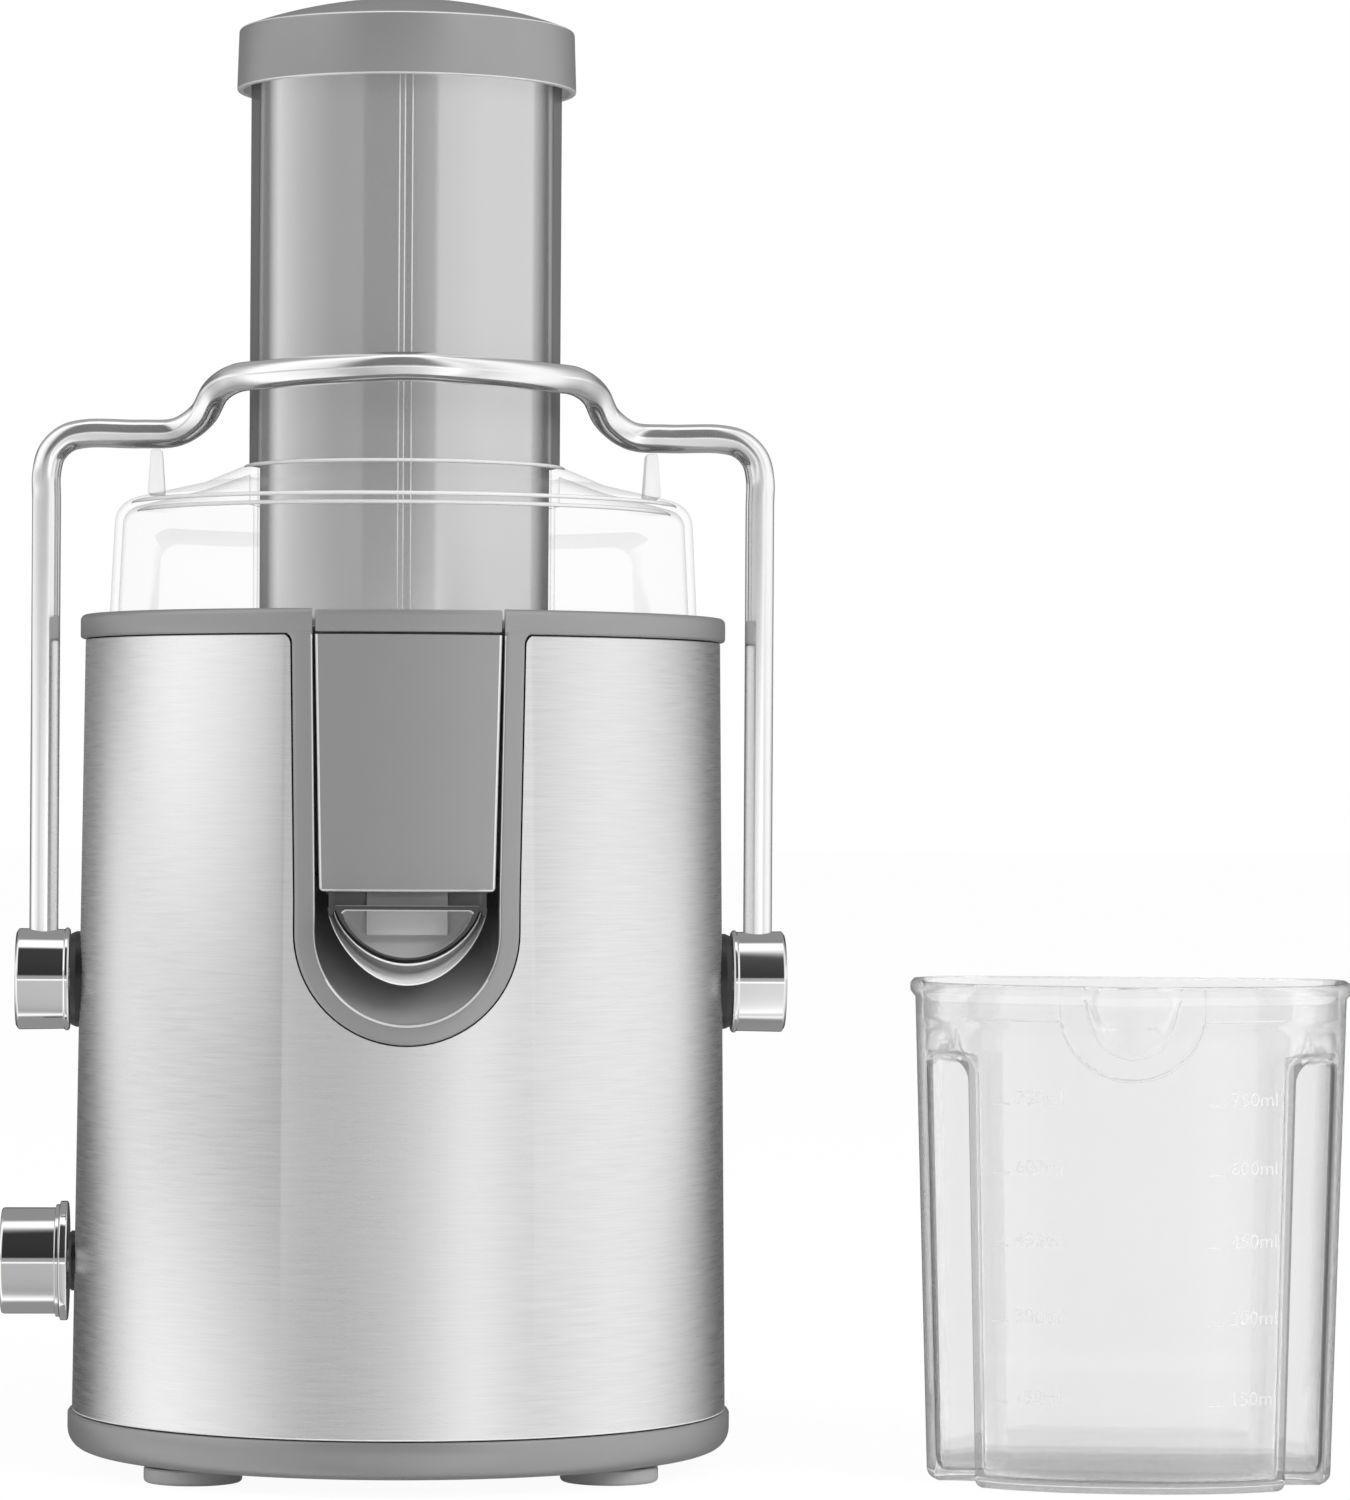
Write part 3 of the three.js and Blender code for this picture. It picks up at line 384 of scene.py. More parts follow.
    @staticmethod
    def block(name: str, low: Sequence[float], high: Sequence[float]) -> Piece:
        """A box from its lowest to its highest corner."""
        Bench.clear()
        bpy.ops.mesh.primitive_cube_add(size=1.0)
        piece = bpy.context.object
        piece.name = piece.data.name = name
        for vert in piece.data.vertices:
            vert.co = Vector(mix(a, b, c + 0.5) for a, b, c in zip(low, high, vert.co))
        return piece

    @staticmethod
    def prism(name: str, outline: Profile, front: float, back: float) -> Piece:
        """A solid whose outline lies in X and Z, between two places along Y."""
        return Bench.skin(name, [upright(outline, front), upright(outline, back)])

    @staticmethod
    def modify(piece: Piece, kind: str, **settings: Any) -> None:
        """Adds a modifier of a kind with its settings, and applies it."""
        Bench.pick(piece)
        modifier = piece.modifiers.new(kind.title(), kind)
        for setting, value in settings.items():
            setattr(modifier, setting, value)
        bpy.ops.object.modifier_apply(modifier=modifier.name)

    @staticmethod
    def carve(piece: Piece, *tools: Piece, how: str = "DIFFERENCE") -> None:
        """Cuts, joins or trims a piece with tools, which are used up.

        Args:
            piece: The piece to change.
            tools: The solids to use on it, in order.
            how: DIFFERENCE, UNION or INTERSECT.
        """
        for tool in tools:
            Bench.modify(piece, "BOOLEAN", operation=how, solver="EXACT", object=tool)
            bpy.data.objects.remove(tool)

    @staticmethod
    def soften(piece: Piece, width: float, steps: int = 3, angle: float = 40) -> None:
        """Rounds the edges that are sharper than an angle in degrees, with steps faces round each."""
        limits = {"limit_method": "ANGLE", "angle_limit": radians(angle)}
        Bench.modify(piece, "BEVEL", width=width, segments=steps, **limits)

    @staticmethod
    def seal(piece: Piece) -> None:
        """Merges doubled points and fills the pinholes that joining shells can leave."""
        with Bench.editing(piece):
            bpy.ops.mesh.select_mode(type="EDGE")
            bpy.ops.mesh.select_all(action="SELECT")
            bpy.ops.mesh.remove_doubles(threshold=1e-5)
            bpy.ops.mesh.select_all(action="DESELECT")
            bpy.ops.mesh.select_non_manifold(use_wire=False, use_multi_face=False, use_verts=False)
            bpy.ops.mesh.fill_holes(sides=0)

    @staticmethod
    def mark(piece: Piece, shares: Sequence[float], domain: str = "FACE") -> None:
        """Notes for each face or point how much painted light it gets, from 0 to 1: painted highlights on
        edges, painted light and shade in hollows, and on the lid which faces are the tail's.
        """
        marks = piece.data.attributes.new(PAINTED_LIGHT, "FLOAT", domain)
        marks.data.foreach_set("value", [float(share) for share in shares])

    @staticmethod
    def thicken(piece: Piece, thickness: float, side: float = -1.0) -> None:
        """Gives a sheet a wall, on the side that its normals point away from or towards."""
        Bench.modify(piece, "SOLIDIFY", thickness=thickness, offset=side, use_even_offset=True)

    @staticmethod
    def inwards(sheet: Piece) -> float:
        """The side to thicken a front sheet on, so that its outer face stays where it is."""
        return 1.0 if sheet.data.polygons[0].normal.y > 0 else -1.0

    @staticmethod
    def gather(name: str, pieces: Sequence[Piece]) -> Piece:
        """Joins several pieces into one object."""
        Bench.pick(pieces[0])
        for piece in pieces[1:]:
            piece.select_set(True)
        bpy.ops.object.join()
        pieces[0].name = pieces[0].data.name = name
        return pieces[0]

    @staticmethod
    def copy(piece: Piece, name: str) -> Piece:
        """A copy of a piece with its own mesh."""
        twin = piece.copy()
        twin.data = piece.data.copy()
        twin.name = twin.data.name = name
        bpy.context.scene.collection.objects.link(twin)
        return twin

    @staticmethod
    def shift(piece: Piece, matrix: Matrix) -> Piece:
        """Moves a piece's mesh, and turns its faces back if the move mirrored it."""
        piece.matrix_world = matrix
        Bench.pick(piece)
        bpy.ops.object.transform_apply(location=True, rotation=True, scale=True)
        if matrix.determinant() < 0:
            with Bench.editing(piece):
                bpy.ops.mesh.normals_make_consistent(inside=False)
        return piece

    @staticmethod
    def smooth(piece: Piece, angle: float) -> None:
        """Shades a piece smooth, apart from edges sharper than an angle in degrees."""
        Bench.pick(piece)
        bpy.ops.object.shade_smooth_by_angle(angle=radians(angle))


# --- shading
class Signal:
    """A shader output that arithmetic can be written on."""

    def __init__(self, paint: "Tree", socket: bpy.types.NodeSocket) -> None:
        """Wraps a node's output socket."""
        self.paint = paint
        self.socket = socket

    def __add__(self, other: Value) -> "Signal":
        """Sum."""
        return self.paint.math("ADD", self, other)

    def __sub__(self, other: Value) -> "Signal":
        """Difference."""
        return self.paint.math("SUBTRACT", self, other)

    def __rsub__(self, other: Value) -> "Signal":
        """Difference, with the plain number first."""
        return self.paint.math("SUBTRACT", other, self)

    def __mul__(self, other: Value) -> "Signal":
        """Product."""
        return self.paint.math("MULTIPLY", self, other)

    __radd__ = __add__
    __rmul__ = __mul__


class Tree:
    """A node tree, with one way to add a node to it."""

    def __init__(self, owner: Union[bpy.types.Material, bpy.types.World]) -> None:
        """Starts a material's or a world's tree with nothing in it."""
        owner.use_nodes = True
        self.tree = owner.node_tree
        self.tree.nodes.clear()

    def surface(self, shader: Signal, kind: str = "Material") -> None:
        """Adds the output node, and links a shader to it."""
        output = self.tree.nodes.new("ShaderNodeOutput" + kind)
        self.tree.links.new(shader.socket, output.inputs["Surface"])

    def ray(self, kind: str) -> Signal:
        """Whether the light path has come to a kind of ray."""
        return self.node("LightPath", output=f"Is {kind} Ray")

    def set(self, node: bpy.types.Node, sockets: dict[Any, Value]) -> None:
        """Gives a node's sockets their values or links."""
        for key, value in sockets.items():
            if isinstance(value, Signal):
                self.tree.links.new(value.socket, node.inputs[key])
            else:
                node.inputs[key].default_value = value

    def node(
        self, kind: str, settings: dict[str, Any] | None = None, sockets: dict[Any, Value] | None = None,
        output: Union[int, str] = 0,
    ) -> Signal:
        """Adds a node.

        Args:
            kind: The node's type, without its first word ShaderNode.
            settings: Its own settings. The key "stops" holds a colour ramp's places and greys.
            sockets: Its input sockets' values or links.
            output: Which output to return.

        Returns:
            The chosen output.
        """
        made = self.tree.nodes.new("ShaderNode" + kind)
        for setting, value in (settings or {}).items():
            if setting == "stops":
                stops = made.color_ramp.elements
                while len(stops) < len(value):
                    stops.new(0.5)
                for stop, (place, level_) in zip(stops, value):
                    stop.position = place
                    stop.color = (level_, level_, level_, 1)
            else:
                setattr(made, setting, value)
        self.set(made, sockets or {})
        return Signal(self, made.outputs[output])

    def math(self, operation: str, *values: Value) -> Signal:
        """A Math node on one or two values."""
        return self.node("Math", {"operation": operation}, dict(enumerate(values)))

    def ramp(self, share: Signal, stops: Stops) -> Signal:
        """A grey that follows its stops as a share goes from 0 to 1."""
        return self.node("ValToRGB", {"stops": list(stops)}, {0: share})

    def parts(self, vector: Signal) -> tuple[Signal, Signal, Signal]:
        """A vector's three coordinates."""
        first = self.node("SeparateXYZ", {}, {0: vector})
        outputs = first.socket.node.outputs
        return tuple(Signal(self, outputs[axis]) for axis in "XYZ")


class Paint(Tree):
    """A material's node tree, with its one Principled shader."""

    def __init__(self, name: str) -> None:
        """Starts an empty material of that name."""
        self.material = bpy.data.materials.new(name)
        super().__init__(self.material)
        self.shader = self.tree.nodes.new("ShaderNodeBsdfPrincipled")
        self.surface(Signal(self, self.shader.outputs[0]))

    def position(self, centre: Vector) -> Signal:
        """Object coordinates counted from a centre."""
        place = self.node("TexCoord", output="Object")
        return self.node("Mapping", {}, {"Vector": place, "Location": tuple(-centre)})

    def noise(self, vector: Signal, scale: float, detail: float, rough: float = 0.5) -> Signal:
        """Noise from 0 to 1, whose features are about 1 / scale across."""
        sockets = {"Vector": vector, "Scale": scale, "Detail": detail, "Roughness": rough}
        return self.node("TexNoise", {}, sockets, "Fac")

    def blend(
        self, share: Signal, low: Union[Signal, Sequence[float]], high: Union[Signal, Sequence[float]]
    ) -> Signal:
        """A colour between two, by a share from 0 to 1."""
        first, second = (c if isinstance(c, Signal) else (*c, 1.0) for c in (low, high))
        return self.node("Mix", {"data_type": "RGBA"}, {0: share, 6: first, 7: second}, 2)

    def polished(self) -> Signal:
        """How much painted light a point has, from 0 to 1; on the lid, whether a face is the tail's."""
        return self.node("Attribute", {"attribute_name": PAINTED_LIGHT}, output="Fac")

    def bump(self, height: Signal, distance: float, strength: float) -> Signal:
        """A normal from a height, whose full step is a distance in metres."""
        sockets = {"Height": height, "Distance": distance, "Strength": strength}
        return self.node("Bump", {}, sockets, "Normal")

    def finish(self, **sockets: Value) -> bpy.types.Material:
        """Sets the shader's sockets, named with _ for a space, and returns the material."""
        self.set(self.shader, {key.replace("_", " "): value for key, value in sockets.items()})
        return self.material


def grey(level_: float) -> tuple[float, float, float]:
    """A neutral colour."""
    return (level_, level_, level_)


def tinted(colour: Sequence[float], gain: float) -> tuple[float, ...]:
    """A colour made lighter or darker."""
    return tuple(min(c * gain, 1.0) for c in colour)


class Slot(Enum):
    """The record's material slots."""

    SLEEVE = "brushed_steel"
    CHROME = "chrome"
    GREY = "grey_plastic"
    BLACK = "black_plastic"
    LID = "clear_lid"
    JUG = "clear_jug"
    SMOKE = "smoke_plastic"
    BIN = "bin_plastic"
    FROST = "frosted_plastic"
    FOOT = "foot_rubber"
    SEAL = "black_rubber"
    MOTOR_STEEL = "motor_steel"
    BASKET = "basket_steel"
    CORE = "laminations"
    COPPER = "copper_winding"
    DARK = "dark_plastic"
    PALE = "pale_plastic"
    CHUTE = "chute_plastic"
    MARKS = "scale_plastic"
    EDGE = "lid_edge"
    WIRE = "bright_wire"
    POCKET = "pocket_plastic"
    POST = "lid_post"


UNMIRRORED = (Slot.JUG, Slot.MARKS, Slot.WIRE, Slot.CHROME, Slot.CHUTE, Slot.LID, Slot.EDGE, Slot.POST)


@dataclass(frozen=True)
class Finish:
    """What every finish has: a name, a colour, and a pattern that is placed on the object."""

    name: str
    colour: tuple[float, float, float]

    def start(self, centre: Vector) -> tuple[Paint, Signal]:
        """A new material's tree, and the place on the object counted from a centre."""
        paint = Paint(self.name)
        return paint, paint.position(centre)


@dataclass(frozen=True)
class BrushedSteel(Finish):
    """Sheet steel with its grain brushed round the body."""

    roughness: float = 0.28
    anisotropy: float = 0.45
    streak_length: float = 0.014
    streak_width: float = 0.00032

    def make(self, centre: Vector) -> bpy.types.Material:
        """The material, with its grain round the Z axis through the centre, and its marked faces painted
        white and not metallic: a painted highlight.
        """
        paint, place = self.start(centre)
        x, y, z = paint.parts(place)
        around = paint.math("ARCTAN2", x, 0 - y)
        stretched = around * (0.084 / self.streak_length)
        tracks = []
        for width, seed in ((self.streak_width, 0.0), (self.streak_width * 4, 7.3)):
            sockets = {0: stretched + seed, 1: z * (1 / width), 2: 0.0}
            tracks.append(paint.noise(paint.node("CombineXYZ", {}, sockets), 1.0, 2.0))
        grain = tracks[0] * 0.6 + tracks[1] * 0.4
        lines = paint.ramp(grain, [(0.32, 0.0), (0.68, 1.0)])
        smudge = paint.noise(place, 14.0, 1.0)
        colour = paint.blend(lines, tinted(self.colour, 0.93), tinted(self.colour, 1.05))
        edge = paint.polished()
        return paint.finish(
            Base_Color=paint.blend(edge, colour, grey(1.0)), Metallic=1 - edge,
            Roughness=self.roughness - 0.04 + lines * 0.05 + smudge * 0.04, Anisotropic=self.anisotropy,
            Normal=paint.bump(grain, 0.00002, 0.5),
        )


@dataclass(frozen=True)
class Chrome(Finish):
    """Bright plating with faint polishing marks."""

    roughness: float = 0.045
    metallic: float = 1.0

    def make(self, centre: Vector) -> bpy.types.Material:
        """The material, with its marks placed from the centre."""
        paint, place = self.start(centre)
        haze = paint.noise(place, 60.0, 3.0)
        marks = paint.noise(place, 900.0, 1.0)
        return paint.finish(
            Base_Color=paint.blend(haze, tinted(self.colour, 0.97), tinted(self.colour, 1.02)),
            Metallic=self.metallic, Roughness=self.roughness + haze * 0.03,
            Normal=paint.bump(marks, 0.000002, 0.3),
        )


@dataclass(frozen=True)
class Moulded(Finish):
    """Opaque moulded plastic or rubber with a fine spark-eroded grain."""

    roughness: float = 0.42
    grain: float = 0.00035
    depth: float = 0.000012
    mottle: float = 0.05
    specular: float = 0.5
    metallic: float = 0.0
    # The grey that marked parts are painted towards: painted highlights and painted light.
    painted_light_grey: float = 0.0

    def make(self, centre: Vector) -> bpy.types.Material:
        """The material, with its grain placed from the centre, and its marked parts painted towards a
        lighter grey: painted highlights on edges, painted light and shade in hollows.
        """
        paint, place = self.start(centre)
        pits = paint.noise(place, 1 / self.grain, 2.0, 0.6)
        flow = paint.noise(place, 35.0, 2.0)
        low, high = tinted(self.colour, 1 - self.mottle), tinted(self.colour, 1 + self.mottle)
        colour = paint.blend(flow * 0.6 + pits * 0.4, low, high)
        if self.painted_light_grey:
            edge = paint.polished()
            colour = paint.blend(edge, colour, grey(self.painted_light_grey))
        return paint.finish(
            Base_Color=colour, Roughness=self.roughness - 0.05 + pits * 0.06 + flow * 0.04,
            Specular_IOR_Level=self.specular, Metallic=self.metallic,
            Normal=paint.bump(pits, self.depth, 0.7),
        )


@dataclass(frozen=True)
class Clear(Finish):
    """Clear or smoky moulded plastic with slight flow lines."""

    roughness: float = 0.03
    transmission: float = 1.0
    index: float = 1.49
    ripple: float = 0.00001
    alpha: float = 1.0
    metallic: float = 0.0
    specular: float = 0.5
    rim: float = 0.0
    rim_tone: float = 0.7
    rim_span: tuple[float, float] = (0.7, 0.92)
    bare: float = 0.0

    def make(self, centre: Vector) -> bpy.types.Material:
        """The material, with its flow lines placed from the centre, and greyer and denser when seen edge
        on: partly the longer path through the wall, partly painted shade for the lines that refraction
        draws along a clear wall's edges.
        """
        paint, place = self.start(centre)
        flow = paint.noise(place, 28.0, 2.0)
        scuffs = paint.noise(place, 420.0, 2.0)
        colour = paint.blend(flow, tinted(self.colour, 0.985), tinted(self.colour, 1.01))
        alpha: Value = self.alpha
        if self.rim:
            start, stop = self.rim_span
            facing = paint.node("LayerWeight", {}, {"Blend": 0.5}, "Facing")
            inside = paint.node("NewGeometry", output="Backfacing")
            edge_on = paint.ramp(facing, [(start, 0.0), (stop, 1.0)]) * (1 - inside)
            # On the lid the painted-light attribute picks the tail's faces, where bare thins this painted
            # edge shade.
            if self.bare:
                edge_on = edge_on * (1 - paint.polished() * self.bare)
            alpha = self.alpha + edge_on * (self.rim - self.alpha)
            colour = paint.blend(edge_on, colour, grey(self.rim_tone))
        return paint.finish(
            Base_Color=colour, Roughness=self.roughness + scuffs * 0.02, Metallic=self.metallic,
            IOR=self.index, Specular_IOR_Level=self.specular, Transmission_Weight=self.transmission,
            Alpha=alpha, Normal=paint.bump(flow, self.ripple, 0.5),
        )


@dataclass(frozen=True)
class Layered(Finish):
    """Metal with fine even lines along Z: pressed laminations, turned steel or wound wire."""

    pitch: float
    roughness: float = 0.4
    metallic: float = 1.0
    depth: float = 0.00008

    def make(self, centre: Vector) -> bpy.types.Material:
        """The material, with its lines level and its stains placed from the centre."""
        paint, place = self.start(centre)
        height = paint.parts(place)[2]
        wave = paint.math("SINE", height * (TURN / self.pitch))
        lines = wave * 0.5 + 0.5
        stain = paint.noise(place, 90.0, 3.0)
        return paint.finish(
            Base_Color=paint.blend(
                lines * 0.6 + stain * 0.4, tinted(self.colour, 0.7), tinted(self.colour, 1.2)
            ),
            Metallic=self.metallic, Roughness=self.roughness - 0.08 + stain * 0.16,
            Normal=paint.bump(lines, self.depth, 0.5),
        )


FINISHES = {
    Slot.SLEEVE: BrushedSteel("sleeve_brushed_steel", (0.845, 0.84, 0.85)),
    Slot.CHROME: Chrome("bright_chrome", (0.9, 0.9, 0.9)),
    Slot.GREY: Moulded("grey_moulded_plastic", grey(0.33), roughness=0.34, metallic=0.4, painted_light_grey=0.85),
    # Painted shade: this dark grey darkens the pocket and the duct's flanks, and its marked parts are
    # painted lighter.
    Slot.POCKET: Moulded("pocket_plastic", grey(0.09), roughness=0.34, metallic=0.4, painted_light_grey=0.36),
    Slot.BLACK: Moulded("black_moulded_plastic", grey(0.018), roughness=0.35),
    Slot.LID: Clear(
        "clear_lid_plastic", grey(0.95), transmission=0.0, alpha=0.02, rim=0.4, rim_tone=0.72,
        rim_span=(0.82, 0.96), bare=0.6,
    ),
    Slot.POST: Clear(
        "lid_post_plastic", grey(0.95), transmission=0.0, alpha=0.22, rim=0.5, rim_tone=0.7,
        rim_span=(0.3, 0.8),
    ),
    # Pale opaque cords that paint highlight lines along the lid's edges and the pusher's keyway.
    Slot.EDGE: Clear("lid_edge_painted_highlight", grey(0.93), 0.08, transmission=0.0, alpha=0.8),
    Slot.JUG: Clear("clear_jug_plastic", grey(0.87), roughness=0.04, alpha=0.66),
    Slot.SMOKE: Clear("smoke_pusher_plastic", grey(0.62), roughness=0.08, transmission=0.0, metallic=0.92),
    Slot.BIN: Clear("smoke_bin_plastic", grey(0.5), roughness=0.12, transmission=0.7),
    Slot.FROST: Moulded("tray_plastic", grey(0.58), roughness=0.22, depth=0.000004),
    # Painted light and shade: dark grey painted pale where marked on the lip; unmarked, it is the dark
    # plate over the duct.
    Slot.PALE: Moulded("lip_plastic_painted_light_and_shade", grey(0.17), roughness=0.18, depth=0.000004, painted_light_grey=0.9),
    # The chute is clear; its dark edge-on grey is painted shade for the dark bands along its edges.
    Slot.CHUTE: Clear(
        "chute_plastic_painted_edge_shade", grey(0.9), transmission=0.0, alpha=0.03, specular=0.0, rim=0.95,
        rim_tone=0.12, rim_span=(0.6, 0.68),
    ),
    Slot.WIRE: Chrome("bright_wire", grey(0.94), roughness=0.11, metallic=0.84),
    Slot.MARKS: Clear("raised_scale_plastic", (1, 1, 1), 0.25, transmission=0.0, alpha=0.55),
    Slot.DARK: Moulded("dark_grey_plastic", grey(0.045), roughness=0.3, painted_light_grey=0.6),
    Slot.FOOT: Moulded("grey_foot_rubber", grey(0.42), roughness=0.6, grain=0.0006, depth=0.00003),
    Slot.SEAL: Moulded("black_rubber", grey(0.02), roughness=0.62, grain=0.0006, depth=0.00003),
    Slot.MOTOR_STEEL: Layered("turned_steel", grey(0.5), pitch=0.0004, roughness=0.32),
    Slot.BASKET: Layered("basket_steel", grey(0.66), pitch=0.0009, roughness=0.27, depth=0.00001),
    Slot.CORE: Layered("core_laminations", (0.12, 0.12, 0.13), pitch=0.0011, roughness=0.5),
    Slot.COPPER: Layered("wound_copper", (0.55, 0.2, 0.08), pitch=0.0008, roughness=0.35),
}


class Palette:
    """Every finish, made once, by the record's slot."""

    def __init__(self, centre: Vector) -> None:
        """Makes the materials, with their patterns placed from the centre."""
        self.materials = {slot: finish.make(centre) for slot, finish in FINISHES.items()}

    def dress(self, piece: Piece, slot: Slot) -> None:
        """Gives a piece the one material of a slot."""
        piece.data.materials.clear()
        piece.data.materials.append(self.materials[slot])


# --- the juicer's common sizes
@dataclass(frozen=True)
class Body:
    """Sizes that several sub-assemblies share, in metres from the motor's axis on the floor."""

    sleeve_bottom: float = 0.014
    sleeve_top: float = 0.2109
    sleeve_low_radius: float = 0.0839
    sleeve_high_radius: float = 0.0816
    arch_centre: float = 0.138
    lean: float = 0.016
    lean_start: float = 0.008
    flare: float = 0.0028
    trim_outer: float = 0.0275
    trim_inner: float = 0.0225
    ring_radius: float = 0.0829
    ring_bottom: float = 0.2112
    ring_top: float = 0.2173
    pivot_height: float = 0.1238
    knob_height: float = 0.0515
    tail_half: float = 0.069

    def skin_radius(self, z: float) -> float:
        """The sleeve's outer radius at a height."""
        share = (z - self.sleeve_bottom) / (self.sleeve_top - self.sleeve_bottom)
        return mix(self.sleeve_low_radius, self.sleeve_high_radius, share)

    def splay(self, z: float) -> float:
        """How much wider each side of the front's opening is at a height than at its arch."""
        return self.lean * max(z - self.arch_centre - self.lean_start, 0.0)

    def hull(self, low: float, high: float) -> Piece:
        """The solid inside the sleeve's skin between two heights, to cut other pieces with."""
        core = [(0, low), (self.skin_radius(low), low), (self.skin_radius(high), high), (0, high)]
        return Bench.lathe("hull", core, 288)

    def on_front(self, x: float, z: float, proud: float) -> Vector:
        """A point of the front, that far proud of the sleeve."""
        radius = self.skin_radius(z) + proud
        return Vector((x, -sqrt(max(radius**2 - x**2, 0.0)), z))

    def arch(self, half: float, top: float) -> Profile:
        """The outline of the front's opening, a U in X and Z that is closed across its top."""
        wide, flare = half + self.splay(top), self.flare
        corner = [(half, self.arch_centre + self.lean_start), (wide, top - flare)]
        corner += arc(wide + flare, top - flare, flare, flare, pi, pi / 2, 6)[1:]
        bow = arc(0, self.arch_centre, half, half, pi, TURN, 40)
        return bow + corner + [(-x, z) for x, z in reversed(corner)]


BODY = Body()


@dataclass
class Assembly:
    """What every sub-assembly needs: the palette, and where the motor's axis is."""

    palette: Palette
    axis: Vector
    made: int = field(default=0, init=False)

    def deliver(
        self, piece: Piece, slot: Slot, body: str, *nodes: str, smooth: float = 35.0,
        place: Matrix = UNMOVED, mirrored: bool = True,
    ) -> None:
        """Puts a finished piece in its place, dresses it and lets it ride.

        Args:
            piece: The piece, modelled round the motor's axis.
            slot: Its finish.
            body: The body that carries it.
            nodes: The CAD nodes that it stands for.
            smooth: The sharpest angle that is shaded smooth, in degrees.
            place: A move to make before the shift to the axis.
            mirrored: Whether bright pieces round it show it in their reflections.
        """
        Bench.shift(piece, Matrix.Translation(self.axis) @ place)
        Bench.smooth(piece, smooth)
        self.palette.dress(piece, slot)
        piece.visible_glossy = mirrored and slot not in UNMIRRORED
        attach(piece, body)
        if nodes:
            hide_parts(*nodes)
        self.made += 1
        LOG.info("%s: %d faces on %s", piece.name, len(piece.data.polygons), body)


    def deliver_pair(
        self, model: Piece, name: str, slot: Slot, body: str, node: str, place: Matrix = UNMOVED
    ) -> None:
        """Puts a copy of a right-hand model in its place and its mirror image on the left."""
        for side, turn in (("right", UNMOVED), ("left", FLIP)):
            twin = Bench.copy(model, f"{name}_{side}")
            self.deliver(twin, slot, body, f"{node}_{side}", place=place @ turn)
        bpy.data.objects.remove(model)


